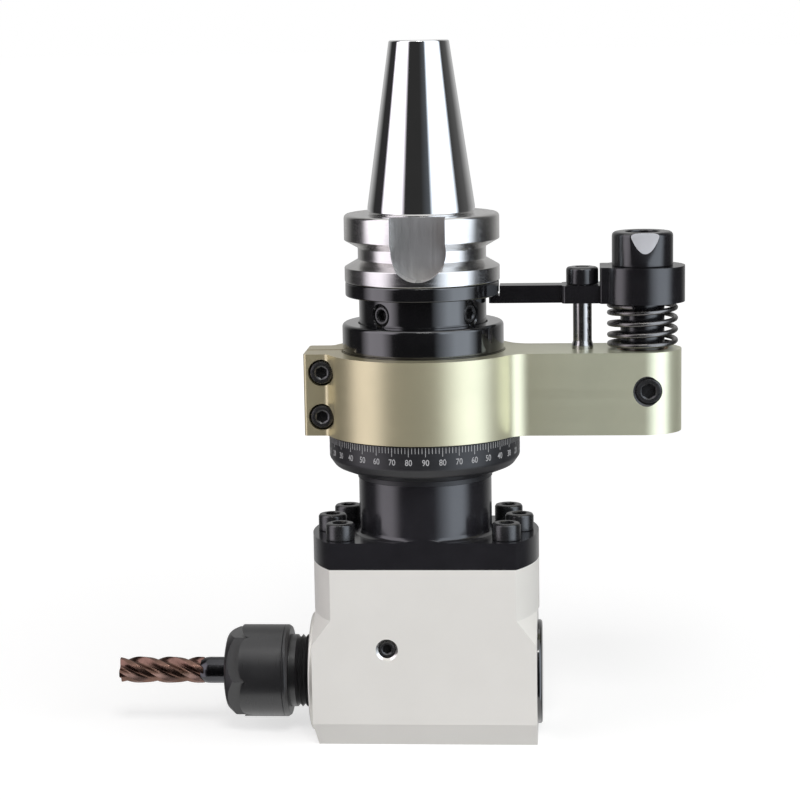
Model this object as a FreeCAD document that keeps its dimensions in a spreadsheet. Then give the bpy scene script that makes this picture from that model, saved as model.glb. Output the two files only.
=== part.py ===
"""Right-angle milling head on a 7:24 taper shank, for a machining centre.

The head stands on the flat base of its gear housing. The spindle axis is the Z
axis, the base is z = 0, the tool points along -X and the torque arm along +X.
A vertical input spindle drives a horizontal tool spindle through a pair of
mitre gears. A clamp ring with an arm carries the spring-loaded stop pin, whose
lever enters a notch in the collar under the shank flange.
"""
import FreeCAD, Part
import math
import os
import sys

import Sketcher

Vector = FreeCAD.Vector
Rotation = FreeCAD.Rotation

doc = FreeCAD.newDocument("angle_head")
sheet = doc.addObject("Spreadsheet::Sheet", "Sizes")

# Driving sizes in millimetres, teeth and turns as counts, angles in degrees
SIZES = [
    # taper shank no. 30
    ("gauge_d", 31.75, "taper diameter at the gauge line"),
    ("taper_small_d", 17.633, "taper diameter at its small end"),
    ("taper_len", 48.4, "gauge line to small end"),
    ("gauge_gap", 2.0, "gauge line to flange face"),
    ("flange_d", 46.0, "shank flange"),
    ("flange_h", 20.0, "shank flange height"),
    ("groove_floor_d", 38.0, "floor of the gripper groove"),
    ("groove_mid", 13.6, "gauge line to the middle of the gripper groove"),
    ("groove_w", 8.0, "mouth of the gripper groove"),
    ("groove_floor_w", 3.4, "floor width of the gripper groove"),
    ("key_w", 16.1, "driving key slot width"),
    ("key_seat", 16.3, "spindle axis to the floor of a key slot"),
    ("key_tail", 1.6, "flange left under a key slot"),
    ("draw_d", 10.2, "draw bar thread core"),
    ("draw_depth", 24.0, "draw bar thread depth"),
    ("stub_d", 30.0, "stub under the shank flange"),
    ("edge_break", 0.5, "small chamfer on turned edges"),
    # lock collar
    ("collar_d", 45.8, "collar flange"),
    ("collar_h", 4.2, "collar flange height"),
    ("waist_d", 37.8, "collar waist"),
    ("waist_h", 8.0, "waist showing above the bearing cover"),
    ("waist_sink", 3.3, "waist inside the bearing cover"),
    ("notch_w", 7.6, "lock notch width"),
    ("notch_floor", 19.4, "spindle axis to the floor of the lock notch"),
    ("pinch_d", 6.0, "pinch screw"),
    ("pinch_len", 3.4, "pinch screw length"),
    ("pinch_drop", 4.6, "pinch screw axis below the collar flange"),
    ("pinch_turn", 7.5, "pinch screws turned from the diagonals"),
    ("pinch_hex", 3.0, "pinch screw hexagon"),
    # bearing cover, sleeve and dial
    ("body_d", 48.0, "sleeve and bearing cover"),
    ("cover_h", 8.2, "bearing cover height"),
    ("cover_lip", 2.0, "bearing cover over the outer race"),
    ("labyrinth", 0.3, "running gap round turning parts"),
    ("clamp_h", 24.3, "clamp ring height"),
    ("clamp_rise", 0.3, "gap under the clamp ring"),
    ("cover_rise", 0.3, "clamp ring top to the bearing cover joint"),
    ("dial_d", 57.0, "index dial"),
    ("dial_h", 13.3, "index dial height"),
    ("dial_band", 7.5, "straight band of the dial"),
    ("dial_mid_d", 53.4, "dial where its round edge meets its cone"),
    ("dial_mid_h", 3.0, "height of that circle above the dial's foot"),
    ("dial_foot_d", 41.2, "dial foot"),
    # neck and plate
    ("neck_d", 39.8, "neck"),
    ("neck_h", 16.9, "neck showing between plate and dial"),
    ("neck_fillet", 1.4, "fillet at the foot of the neck"),
    ("plate_h", 8.0, "plate"),
    ("spigot_h", 3.8, "spigot between neck and sleeve"),
    ("spigot_d", 28.0, "spigot diameter"),
    ("tunnel_d", 22.0, "bore between the bearings"),
    # gear housing
    ("case_h", 54.0, "gear housing height"),
    ("case_d", 68.0, "turned upper part of the housing"),
    ("case_t", 40.0, "housing front to back"),
    ("case_w", 66.8, "housing over its side flats"),
    ("flat_top", 38.5, "top of the side flats"),
    ("shoulder_h", 7.6, "sloping shoulder over the square corners"),
    ("shoulder_out", 4.9, "how far the shoulder slopes out"),
    ("foot_h", 7.0, "height of the bevel round the base"),
    ("foot_in", 3.0, "depth of that bevel"),
    ("foot_in_side", 1.5, "depth of that bevel on the tool side"),
    ("tool_z", 18.0, "tool axis above the base"),
    ("chamber_d", 28.4, "vertical bore of the gear chamber"),
    ("gear_room_d", 26.8, "bore round the driven gear"),
    ("seal_d", 38.0, "plate seal ring"),
    ("seal_w", 1.4, "plate seal section"),
    # screws
    ("plate_pcd", 56.4, "plate screw circle"),
    ("plate_step", 29.25, "angle between plate screws"),
    ("plate_screw_d", 5.0, "plate screw"),
    ("plate_screw_len", 16.0, "plate screw length"),
    ("plate_head_d", 8.5, "plate screw head"),
    ("plate_hex", 4.0, "plate screw hexagon"),
    ("grease_d", 5.2, "grease screw"),
    ("grease_x", 10.9, "grease screw beside the spindle axis"),
    ("grease_z", 29.7, "grease screw above the base"),
    ("grease_len", 6.0, "grease screw length"),
    ("grease_hex", 2.5, "grease screw hexagon"),
    ("sink_w", 0.9, "countersink round sunk screws"),
    # input shaft and its bearings
    ("shaft_d", 15.0, "input bearing seat"),
    ("shaft_head_d", 18.0, "input shaft in the shank"),
    ("shaft_head_h", 18.0, "depth of the shaft in the shank"),
    ("in_bearing_d", 32.0, "input bearing outside"),
    ("in_bearing_h", 9.0, "input bearing width"),
    ("shaft_nut_h", 4.0, "input shaft nut"),
    ("shaft_nut_d", 22.0, "input shaft nut diameter"),
    ("retainer_bore_d", 24.4, "bore of the ring under the lower bearing"),
    ("gear_seat_d", 12.0, "gear bore"),
    ("race_share", 0.27, "thickness of a race as a share of its bearing's section"),
    ("ball_play", 0.05, "gap between a ball and its races"),
    ("spacer_t", 2.0, "wall of the spacer tubes"),
    # mitre gears
    ("gear_teeth", 16, "teeth of each mitre gear"),
    ("gear_module", 1.5, "module"),
    ("face_w", 5.2, "tooth length"),
    ("backlash", 0.3, "tooth thinning"),
    ("addendum", 0.85, "tooth above the pitch cone, in modules"),
    ("dedendum", 1.15, "tooth below the pitch cone, in modules"),
    ("gear_hub_h", 8.0, "hub behind the teeth"),
    ("gear_hub_d", 19.0, "hub diameter"),
    # tool spindle
    ("out_core_d", 13.0, "tool spindle between its bearings"),
    ("out_seat_d", 15.0, "front bearing seat"),
    ("out_bearing_d", 28.0, "front bearing outside"),
    ("out_bearing_w", 7.0, "front bearing width"),
    ("out_bearing_at", 17.0, "spindle axis to the first front bearing"),
    ("preload_nut_w", 3.2, "nut behind the front bearings"),
    ("preload_nut_d", 19.0, "its diameter"),
    ("rear_seat_d", 12.0, "rear bearing seat"),
    ("rear_bearing_d", 24.0, "rear bearing outside"),
    ("rear_bearing_w", 6.0, "rear bearing width"),
    ("rear_bearing_at", 22.6, "spindle axis to the rear bearing"),
    ("nose_d", 22.0, "threaded nose"),
    ("nose_end", 57.5, "spindle axis to the end of the nose"),
    ("nose_root_d", 20.2, "thread root"),
    ("thread_pitch", 1.5, "thread pitch"),
    ("nose_cap_d", 35.8, "nose cap"),
    ("nose_cap_t", 1.6, "nose cap standing off the housing"),
    ("nose_seal_w", 1.6, "nose seal section"),
    ("rear_cap_d", 31.4, "rear cap"),
    ("rear_cap_t", 1.4, "rear cap standing off the housing"),
    ("rear_cap_wall", 2.6, "rim of the rear cap inside its bore"),
    ("rear_nut_w", 3.2, "nut behind the rear bearing"),
    ("rear_nut_d", 17.0, "its diameter"),
    # collet, nut and cutter
    ("socket_d", 16.4, "collet socket at the nose"),
    ("socket_angle", 8.0, "collet half angle"),
    ("collet_back", 35.0, "spindle axis to the back of the collet"),
    ("collet_front", 61.1, "spindle axis to the front of the collet"),
    ("collet_groove", 0.9, "snap groove behind the collet's front cone"),
    ("collet_slot", 0.6, "collet slot width"),
    ("nut_at", 41.7, "spindle axis to the collet nut"),
    ("nut_len", 19.9, "collet nut length"),
    ("nut_round_len", 10.2, "round part of the nut"),
    ("nut_d", 28.0, "collet nut diameter"),
    ("nut_hex", 24.0, "collet nut across flats"),
    ("nut_mouth_d", 14.6, "mouth of the nut"),
    ("collet_back_web", 5.0, "collet left behind a slot from the front"),
    ("collet_front_web", 7.0, "collet left before a slot from the back"),
    ("cutter_d", 8.0, "end mill"),
    ("cutter_tip", 94.5, "spindle axis to the end mill's tip"),
    ("flute_len", 25.8, "flute length"),
    ("shank_in", 40.0, "spindle axis to the end mill's back end"),
    ("shank_room", 8.0, "bore of the tool spindle behind the end mill"),
    ("cutter_core", 0.56, "web of the end mill as a share of its diameter"),
    ("flute_turn", 250.0, "twist of the flutes over their length"),
    # clamp ring and arm
    ("ring_d", 59.0, "clamp ring"),
    ("ring_play", 0.05, "clamp ring play round the sleeve"),
    ("arm_t", 23.0, "arm front to back"),
    ("pin_x", 65.0, "spindle axis to the stop pin"),
    ("arm_fillet", 8.0, "fillet between ring and arm"),
    ("lug_x", 35.0, "spindle axis to the end of the lug"),
    ("lug_t", 20.0, "lug front to back"),
    ("lug_fillet", 2.0, "fillet between ring and lug"),
    ("slit_w", 1.2, "clamp slit"),
    ("lug_screw_x", 29.7, "spindle axis to the clamp screws"),
    ("lug_screw_low", 5.6, "lower clamp screw above the ring's underside"),
    ("lug_screw_gap", 13.2, "between the clamp screws"),
    ("clamp_screw_d", 4.0, "clamp screw"),
    ("clamp_head_d", 7.2, "clamp screw head"),
    ("clamp_head_h", 4.0, "clamp screw head height"),
    ("clamp_bore_d", 7.9, "counterbore of the clamp screws"),
    ("clamp_sink", 0.4, "clamp screw heads below the lug face"),
    ("clamp_hex", 3.2, "clamp screw hexagon"),
    ("clamp_screw_len", 14.0, "clamp screw shank"),
    ("arm_screw_d", 8.0, "screw in the arm's face"),
    ("arm_screw_len", 3.2, "its length"),
    ("arm_screw_past", 1.5, "that screw beyond the stop pin's axis"),
    ("arm_screw_drop", 11.4, "that screw below the arm's top"),
    ("arm_screw_hex", 4.0, "its hexagon"),
    # stop pin, lever, post and spring
    ("pin_d", 18.0, "stop pin"),
    ("pin_h", 10.0, "stop pin above the lever"),
    ("pin_bore_d", 10.0, "bore in the stop pin"),
    ("pin_bore_h", 7.5, "its depth"),
    ("stem_d", 13.0, "stem of the stop pin"),
    ("stem_len", 30.3, "stem under the lever's underside"),
    ("pin_flat_in", 1.45, "flat on the stop pin at its top"),
    ("pin_flat_h", 6.2, "height of that flat"),
    ("bush_t", 1.0, "wall of the bush"),
    ("bush_len", 20.7, "bush length"),
    ("slide_play", 0.05, "play of sliding parts"),
    ("stem_room", 22.0, "depth of the stem's bore in the arm"),
    ("lever_drop", 1.5, "lever top below the shank flange"),
    ("lever_t", 5.2, "lever thickness"),
    ("lever_w", 7.0, "lever width"),
    ("lever_tip", 20.2, "spindle axis to the lever's lip"),
    ("lip_h", 2.2, "height of the lip under the collar"),
    ("eye_d", 25.0, "eye round the stop pin"),
    ("eye_h", 10.6, "eye height"),
    ("eye_block_t", 15.0, "square shoulder of the eye, front to back"),
    ("post_x", 47.3, "spindle axis to the guide post"),
    ("post_eye_d", 12.0, "eye round the guide post"),
    ("post_d", 5.6, "guide post"),
    ("post_foot_d", 6.4, "foot of the guide post"),
    ("post_foot_h", 1.6, "its height"),
    ("post_thread_d", 4.0, "thread of the guide post"),
    ("post_thread_len", 12.0, "its length"),
    ("post_stand", 0.1, "guide post above the lever"),
    ("post_head_d", 9.5, "guide screw head"),
    ("post_head_h", 5.0, "its height"),
    ("post_screw_d", 3.0, "guide screw"),
    ("post_screw_len", 10.0, "its length"),
    ("post_hex", 3.0, "guide screw hexagon"),
    ("wire_d", 1.5, "spring wire"),
    ("spring_od", 21.0, "spring outside"),
    ("spring_turns", 4, "spring turns"),
    ("spring_gap", 0.06, "spring end to its seat"),
]

for row, (alias, number, note) in enumerate(SIZES, start=1):
    sheet.set("A%d" % row, note)
    sheet.set("B%d" % row, str(number))
    sheet.setAlias("B%d" % row, alias)
doc.recompute()


class Size:
    """A length with the sheet expression that it comes from."""

    def __init__(self, value, text):
        self.value = float(value)
        self.text = text

    @staticmethod
    def of(other):
        return other if isinstance(other, Size) else Size(other, repr(float(other)))

    def __add__(self, other):
        other = Size.of(other)
        return Size(self.value + other.value, "(%s + %s)" % (self.text, other.text))

    def __sub__(self, other):
        other = Size.of(other)
        return Size(self.value - other.value, "(%s - %s)" % (self.text, other.text))

    def __mul__(self, other):
        other = Size.of(other)
        return Size(self.value * other.value, "%s * %s" % (self.text, other.text))

    def __truediv__(self, other):
        other = Size.of(other)
        return Size(self.value / other.value, "%s / (%s)" % (self.text, other.text))

    def __neg__(self):
        return Size(-self.value, "(0 - %s)" % self.text)

    def __float__(self):
        return self.value


class Sheet:
    """Reads a size from the spreadsheet by its alias."""

    def __getattr__(self, alias):
        return Size(float(sheet.get(alias)), "Sizes." + alias)


D = Sheet()
ZERO = Size.of(0)
SQRT3 = math.sqrt(3)

# Levels of the stack on the spindle axis, from the base up
case_top = D.case_h
plate_top = case_top + D.plate_h
dial_foot = plate_top + D.neck_h
dial_top = dial_foot + D.dial_h
clamp_low = dial_top + D.clamp_rise
clamp_top = clamp_low + D.clamp_h
sleeve_low = dial_top
sleeve_top = clamp_top + D.cover_rise
cover_top = sleeve_top + D.cover_h
collar_low = cover_top - D.waist_sink
collar_step = cover_top + D.waist_h
flange_low = collar_step + D.collar_h
flange_top = flange_low + D.flange_h
gauge_z = flange_top + D.gauge_gap
shank_top = gauge_z + D.taper_len
lever_top = flange_low - D.lever_drop
lever_low = lever_top - D.lever_t
eye_top = lever_low + D.eye_h
stem_low = lever_low - D.stem_len

# Stations on the tool axis, measured from the spindle axis towards the tool
side = D.case_w / 2
nose_face = side + D.nose_cap_t
front_mid = D.out_bearing_at + D.out_bearing_w
front_end = front_mid + D.out_bearing_w
rear_near = -D.rear_bearing_at
rear_far = rear_near - D.rear_bearing_w
spindle_tail = rear_far - D.rear_nut_w - D.edge_break

parts = {}


def bind(item, prop, size):
    """Ties a property of a document object to the sheet."""
    item.setExpression(prop, Size.of(size).text)


def place(item, base, rotation=None):
    """Puts an item at a point given as sizes, turned by a fixed rotation."""
    values = [Size.of(coordinate) for coordinate in base]
    turn = rotation if rotation is not None else Rotation()
    item.Placement = FreeCAD.Placement(Vector(*[float(v) for v in values]), turn)
    for axis, value in zip("xyz", values):
        bind(item, "Placement.Base." + axis, value)


# Rotations that carry a piece's own Z axis to the named direction
UP = Rotation()
TO_TOOL = Rotation(Vector(0, 1, 0), -90)
TO_FRONT = Rotation(Vector(1, 0, 0), 90)
TO_BACK = Rotation(Vector(1, 0, 0), -90)


def origin_plane(body, role):
    return [f for f in body.Origin.OriginFeatures if f.Role == role][0]


def fix_point(sketch, edge, end, axis, size):
    """Fixes one coordinate of a sketch point to a size."""
    size = Size.of(size)
    kind, line = ("DistanceX", -2) if axis == 0 else ("DistanceY", -1)
    if abs(size.value) < 1e-9 and size.text == ZERO.text:
        sketch.addConstraint(Sketcher.Constraint("PointOnObject", edge, end, line))
        return
    index = sketch.addConstraint(Sketcher.Constraint(kind, -1, 1, edge, end, size.value))
    sketch.setExpression("Constraints[%d]" % index, size.text)


def outline(body, name, role, corners):
    """Closed sketch of straight lines whose corners are pairs of sizes."""
    sketch = body.newObject("Sketcher::SketchObject", name)
    sketch.AttachmentSupport = [(origin_plane(body, role), "")]
    sketch.MapMode = "FlatFace"
    points = [Vector(float(u), float(v), 0) for u, v in corners]
    count = len(points)
    for i in range(count):
        sketch.addGeometry(Part.LineSegment(points[i], points[(i + 1) % count]), False)
    for i in range(count):
        sketch.addConstraint(Sketcher.Constraint("Coincident", i, 2, (i + 1) % count, 1))
    for i, (u, v) in enumerate(corners):
        fix_point(sketch, i, 1, 0, u)
        fix_point(sketch, i, 1, 1, v)
    return sketch


def circle(body, name, centre_x, diameter):
    """Sketch of one circle on the body's XY plane, its centre on the X axis."""
    sketch = body.newObject("Sketcher::SketchObject", name)
    sketch.AttachmentSupport = [(origin_plane(body, "XY_Plane"), "")]
    sketch.MapMode = "FlatFace"
    radius = diameter / 2
    sketch.addGeometry(Part.Circle(Vector(float(centre_x), 0, 0), Vector(0, 0, 1), float(radius)), False)
    fix_point(sketch, 0, 3, 0, centre_x)
    fix_point(sketch, 0, 3, 1, ZERO)
    index = sketch.addConstraint(Sketcher.Constraint("Radius", 0, float(radius)))
    sketch.setExpression("Constraints[%d]" % index, radius.text)
    return sketch


def turned(name, corners, base=(ZERO, ZERO, ZERO), rotation=UP):
    """Body turned about its own Z axis. Corners are (radius, height) pairs."""
    body = doc.addObject("PartDesign::Body", name)
    sketch = outline(body, name + "_profile", "XZ_Plane", corners)
    spin = body.newObject("PartDesign::Revolution", name + "_spin")
    spin.Profile = sketch
    spin.ReferenceAxis = (sketch, ["V_Axis"])
    spin.Angle = 360
    sketch.Visibility = False
    place(body, base, rotation)
    return body


def on_tool_axis(name, corners):
    """Turned body on the tool axis. Heights are stations towards the tool."""
    return turned(name, corners, (ZERO, ZERO, D.tool_z), TO_TOOL)


def ring(outer, inner, low, high):
    """Corners of a plain ring from its radii and heights."""
    return [(inner, low), (outer, low), (outer, high), (inner, high)]


def rod(name, diameter, length, base, rotation=UP):
    item = doc.addObject("Part::Cylinder", name)
    bind(item, "Radius", diameter / 2)
    bind(item, "Height", length)
    place(item, base, rotation)
    return item


def block(name, low, high):
    """Box between two corners given as sizes."""
    item = doc.addObject("Part::Box", name)
    for prop, a, b in zip(("Length", "Width", "Height"), low, high):
        bind(item, prop, Size.of(b) - Size.of(a))
    place(item, low)
    return item


def hexagon(name, across, length, base, rotation=UP):
    item = doc.addObject("Part::Prism", name)
    item.Polygon = 6
    bind(item, "Circumradius", across / SQRT3)
    bind(item, "Height", length)
    place(item, base, rotation)
    return item


def cone(name, large, small, length, base, rotation=UP):
    item = doc.addObject("Part::Cone", name)
    bind(item, "Radius1", large / 2)
    bind(item, "Radius2", small / 2)
    bind(item, "Height", length)
    place(item, base, rotation)
    return item


def fuse(name, items):
    result = doc.addObject("Part::MultiFuse", name)
    result.Shapes = items
    return result


def common(name, items):
    result = doc.addObject("Part::MultiCommon", name)
    result.Shapes = items
    return result


def cut(name, base, tools):
    result = doc.addObject("Part::Cut", name)
    result.Base = base
    result.Tool = tools[0] if len(tools) == 1 else fuse(name + "_tools", tools)
    return result


def keep(label, item):
    """Names a finished sub-part."""
    item.Label = label
    parts[label] = item
    return item


def keep_shape(label, shape, base=(ZERO, ZERO, ZERO), rotation=UP):
    """Finished sub-part whose shape is made here from the sizes."""
    item = doc.addObject("Part::Feature", label)
    item.Shape = shape
    place(item, base, rotation)
    return keep(label, item)


def copies(label, template, placements):
    """One node that holds the same piece at several places."""
    doc.recompute()
    solids = []
    for placement in placements:
        piece = template.Shape.copy()
        piece.Placement = placement.multiply(piece.Placement)
        solids.append(piece)
    return keep_shape(label, Part.makeCompound(solids))


def cap_screw(name, diameter, length, head_d, head_h, across):
    """Socket head screw: its head stands on z = 0 and its shank goes down."""
    head = turned(name + "_head", [
        (ZERO, -length), (diameter / 2, -length), (diameter / 2, ZERO), (head_d / 2, ZERO),
        (head_d / 2, head_h - D.edge_break), (head_d / 2 - D.edge_break, head_h), (ZERO, head_h)])
    socket = hexagon(name + "_socket", across, head_h, (ZERO, ZERO, head_h / 2))
    return cut(name, head, [socket])


def set_screw(name, diameter, length, across):
    """Headless socket screw from z = 0 down, its socket at the top."""
    stem = turned(name + "_stem", [
        (ZERO, -length), (diameter / 2, -length), (diameter / 2, -D.edge_break),
        (diameter / 2 - D.edge_break, ZERO), (ZERO, ZERO)])
    socket = hexagon(name + "_socket", across, length, (ZERO, ZERO, -(length * 0.6)))
    return cut(name, stem, [socket])


def bearing(label, bore_d, outer_d, low, width, base=(ZERO, ZERO, ZERO), rotation=UP):
    """Ball bearing as three nodes: inner race, outer race and balls."""
    high = low + width
    bore, outer = bore_d / 2, outer_d / 2
    race = (outer - bore) * D.race_share
    keep(label + "_inner_race", turned(label + "_in", ring(bore + race, bore, low, high),
                                       base, rotation))
    keep(label + "_outer_race", turned(label + "_out", ring(outer, outer - race, low, high),
                                       base, rotation))
    pitch = float(bore + outer) / 2
    radius = float(outer - bore) / 2 - float(race) - float(D.ball_play)
    count = int(math.pi * pitch / (radius * 1.35))
    middle = float(low) + float(width) / 2
    balls = []
    for i in range(count):
        turn = 2 * math.pi * i / count
        at = Vector(pitch * math.cos(turn), pitch * math.sin(turn), middle)
        balls.append(Part.makeSphere(radius, at))
    keep_shape(label + "_balls", Part.makeCompound(balls), base, rotation)


# Taper shank with its flange, gripper groove and two driving key slots
def make_taper_shank():
    flange = D.flange_d / 2
    floor = D.groove_floor_d / 2
    middle = gauge_z - D.groove_mid
    mouth, bottom = D.groove_w / 2, D.groove_floor_w / 2
    core = D.draw_d / 2
    head = D.shaft_head_d / 2
    b = D.edge_break
    body = turned("shank_turning", [
        (head, collar_low), (D.stub_d / 2, collar_low), (D.stub_d / 2, flange_low),
        (flange - b, flange_low), (flange, flange_low + b),
        (flange, middle - mouth), (floor, middle - bottom), (floor, middle + bottom),
        (flange, middle + mouth), (flange, flange_top - b), (flange - b, flange_top),
        (D.gauge_d / 2, flange_top), (D.gauge_d / 2, gauge_z),
        (D.taper_small_d / 2, shank_top - b), (D.taper_small_d / 2 - b, shank_top),
        (core, shank_top), (core, shank_top - D.draw_depth), (ZERO, shank_top - D.draw_depth),
        (ZERO, collar_low + D.shaft_head_h), (head, collar_low + D.shaft_head_h)])
    slot_centre = flange_low + D.key_tail + D.key_w / 2
    tools = []
    for name, near, far, turn in (("front", -flange - 1, -D.key_seat, TO_BACK),
                                  ("back", D.key_seat, flange + 1, TO_BACK)):
        tools.append(block("key_slot_" + name, (-(D.key_w / 2), near, slot_centre),
                           (D.key_w / 2, far, flange_top + 1)))
        tools.append(rod("key_end_" + name, D.key_w, far - near, (ZERO, near, slot_centre), turn))
    keep("taper_shank", cut("shank", body, tools))


# Collar under the shank flange, with the lock notch and four pinch screws
def make_lock_collar():
    outer, waist, inner = D.collar_d / 2, D.waist_d / 2, D.stub_d / 2
    b = D.edge_break
    body = turned("collar_turning", [
        (inner, collar_low), (waist, collar_low), (waist, collar_step), (outer - b, collar_step),
        (outer, collar_step + b), (outer, flange_low), (inner, flange_low)])
    notch = block("lock_notch", (D.notch_floor, -(D.notch_w / 2), collar_step - 1),
                  (outer + 1, D.notch_w / 2, flange_low + 1))
    level = collar_step - D.pinch_drop
    tools = [notch]
    places = []
    for i in range(4):
        angle = 45 + 90 * i
        turn = Rotation(Vector(0, 0, 1), angle + float(D.pinch_turn)).multiply(
            Rotation(Vector(0, 1, 0), 90))
        out = turn.multVec(Vector(0, 0, 1))
        hole = doc.addObject("Part::Cylinder", "pinch_hole")
        bind(hole, "Radius", D.pinch_d / 2)
        bind(hole, "Height", waist)
        hole.Placement = FreeCAD.Placement(Vector(0, 0, float(level)) + out * float(inner), turn)
        tools.append(hole)
        seat = Vector(0, 0, float(level)) + out * float(inner + D.pinch_len)
        places.append(FreeCAD.Placement(seat, turn))
    keep("lock_collar", cut("collar", body, tools))
    screw = set_screw("pinch_screw", D.pinch_d, D.pinch_len, D.pinch_hex)
    copies("pinch_screws", screw, places)


# Levels of a mitre gear above its apex: front face, back face
pitch_r = D.gear_module * D.gear_teeth / 2
root_drop = D.gear_module * D.dedendum / math.sqrt(2)
gear_front = (pitch_r + root_drop) * (Size.of(1) - D.face_w / (pitch_r * math.sqrt(2)))
gear_back = pitch_r + root_drop + D.gear_hub_h


# Drive shaft, its nut and the tube that parts its bearings
def make_input_shaft():
    seat, head, gear = D.shaft_d / 2, D.shaft_head_d / 2, D.gear_seat_d / 2
    lower_low = plate_top
    lower_high = lower_low + D.in_bearing_h
    upper_low = sleeve_top - D.in_bearing_h * 2
    nut_low = lower_low - D.shaft_nut_h
    gear_low, gear_high = D.tool_z + gear_front, D.tool_z + gear_back
    keep("drive_shaft", turned("shaft", [
        (ZERO, gear_low), (gear, gear_low), (gear, gear_high), (seat, gear_high),
        (seat, sleeve_top), (head, sleeve_top), (head, collar_low + D.shaft_head_h),
        (ZERO, collar_low + D.shaft_head_h)]))
    keep("shaft_nut", turned("nut_in", ring(D.shaft_nut_d / 2, seat, nut_low, lower_low)))
    keep("bearing_spacer", turned("spacer_in", ring(seat + D.spacer_t, seat, lower_high, upper_low)))
    keep("bearing_retainer", turned("retainer", ring(
        D.in_bearing_d / 2, D.retainer_bore_d / 2, case_top, lower_low)))
    bearing("lower_bearing", D.shaft_d, D.in_bearing_d, lower_low, D.in_bearing_h)
    bearing("middle_bearing", D.shaft_d, D.in_bearing_d, upper_low, D.in_bearing_h)
    bearing("upper_bearing", D.shaft_d, D.in_bearing_d, upper_low + D.in_bearing_h, D.in_bearing_h)


def mitre_gear(phase):
    """Mitre gear with its apex at the origin, opening along +Z."""
    teeth = int(float(D.gear_teeth))
    module = float(D.gear_module)
    cone_len = module * teeth / 2 * math.sqrt(2)
    inner_share = (cone_len - float(D.face_w)) / cone_len
    rise, fall = float(D.addendum) * module, float(D.dedendum) * module
    half = math.pi * module / 4 - float(D.backlash) / 2
    flank = math.tan(math.radians(22))
    along = Vector(1, 0, 1).normalize()
    out = Vector(1, 0, -1).normalize()
    centre = along * cone_len

    def section(share):
        corners = []
        for height, sign in ((-fall - 0.3, -1), (rise, -1), (rise, 1), (-fall - 0.3, 1)):
            width = half - height * flank
            corners.append((centre + out * height + Vector(0, sign * width, 0)) * share)
        return Part.makePolygon(corners + corners[:1])

    tooth = Part.makeLoft([section(1.0), section(inner_share)], True, True)
    root_out = centre - out * fall
    root_in = root_out * inner_share
    back = root_out.z + float(D.gear_hub_h)
    bore = float(D.gear_seat_d) / 2
    hub = float(D.gear_hub_d) / 2
    profile = [(bore, root_in.z), (root_in.x, root_in.z), (root_out.x, root_out.z),
               (hub, root_out.z + (root_out.x - hub)), (hub, back), (bore, back)]
    face = Part.Face(Part.makePolygon([Vector(r, 0, z) for r, z in profile + profile[:1]]))
    gear = face.revolve(Vector(0, 0, 0), Vector(0, 0, 1), 360)
    cutter_teeth = []
    for i in range(teeth):
        copy = tooth.copy()
        copy.rotate(Vector(0, 0, 0), Vector(0, 0, 1), 360.0 * (i + phase) / teeth)
        cutter_teeth.append(copy)
    gear = gear.fuse(cutter_teeth).removeSplitter()
    return gear.cut(Part.makeCylinder(bore, back + 1, Vector(0, 0, 0)))


def make_gears():
    apex = (ZERO, ZERO, D.tool_z)
    keep_shape("input_gear", mitre_gear(0.0), apex)
    keep_shape("output_gear", mitre_gear(0.5), apex, Rotation(Vector(0, 1, 0), 90))


# Bearing cover, sleeve, index dial and neck
def make_upper_body():
    body, b, gap = D.body_d / 2, D.edge_break, D.labyrinth
    race = D.in_bearing_d / 2
    lip = race - D.cover_lip
    web_top = cover_top - D.waist_sink - gap
    keep("bearing_cover", turned("cover", [
        (lip, sleeve_top), (body, sleeve_top), (body, cover_top - b * 2), (body - b * 2, cover_top),
        (D.waist_d / 2 + gap, cover_top), (D.waist_d / 2 + gap, web_top),
        (D.shaft_head_d / 2 + gap, web_top), (D.shaft_head_d / 2 + gap, sleeve_top + 2),
        (lip, sleeve_top + 2)]))
    shelf = sleeve_top - D.in_bearing_h * 2
    keep("spindle_sleeve", turned("sleeve", [
        (D.spigot_d / 2, sleeve_low), (body, sleeve_low), (body, sleeve_top), (race, sleeve_top),
        (race, shelf), (D.tunnel_d / 2, shelf), (D.tunnel_d / 2, sleeve_low + D.spigot_h),
        (D.spigot_d / 2, sleeve_low + D.spigot_h)]))
    dial = D.dial_d / 2
    keep("index_dial", turned("dial", [
        (D.neck_d / 2, dial_foot), (D.dial_foot_d / 2, dial_foot),
        (D.dial_mid_d / 2, dial_foot + D.dial_mid_h), (dial - b, dial_top - D.dial_band - b * 2),
        (dial, dial_top - D.dial_band), (dial, dial_top - b), (dial - b, dial_top),
        (D.neck_d / 2, dial_top)]))


def plate_outline(name, low, high):
    """Disc with flats on its front and back."""
    disc = rod(name + "_disc", D.case_d, high - low, (ZERO, ZERO, low))
    slab = block(name + "_slab", (-D.case_d, -(D.case_t / 2), low), (D.case_d, D.case_t / 2, high))
    return common(name, [disc, slab])


def plate_angles():
    step = float(D.plate_step)
    return [0, step, -step, 180, 180 + step, 180 - step]


def plate_points():
    radius = float(D.plate_pcd) / 2
    return [Vector(radius * math.cos(math.radians(a)), radius * math.sin(math.radians(a)), 0)
            for a in plate_angles()]


def plate_holes(name, diameter, low, length):
    """Hole cylinders on the plate screw circle."""
    holes = []
    for i, angle in enumerate(("0", "Sizes.plate_step", "-Sizes.plate_step")):
        for j, sign in enumerate((1, -1)):
            hole = rod("%s_%d_%d" % (name, i, j), diameter, length, (ZERO, ZERO, low))
            across = "Sizes.plate_pcd / 2 * %d" % sign
            hole.setExpression("Placement.Base.x", "%s * cos((%s) * 1deg)" % (across, angle))
            hole.setExpression("Placement.Base.y", "%s * sin((%s) * 1deg)" % (across, angle))
            holes.append(hole)
    return holes


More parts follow.
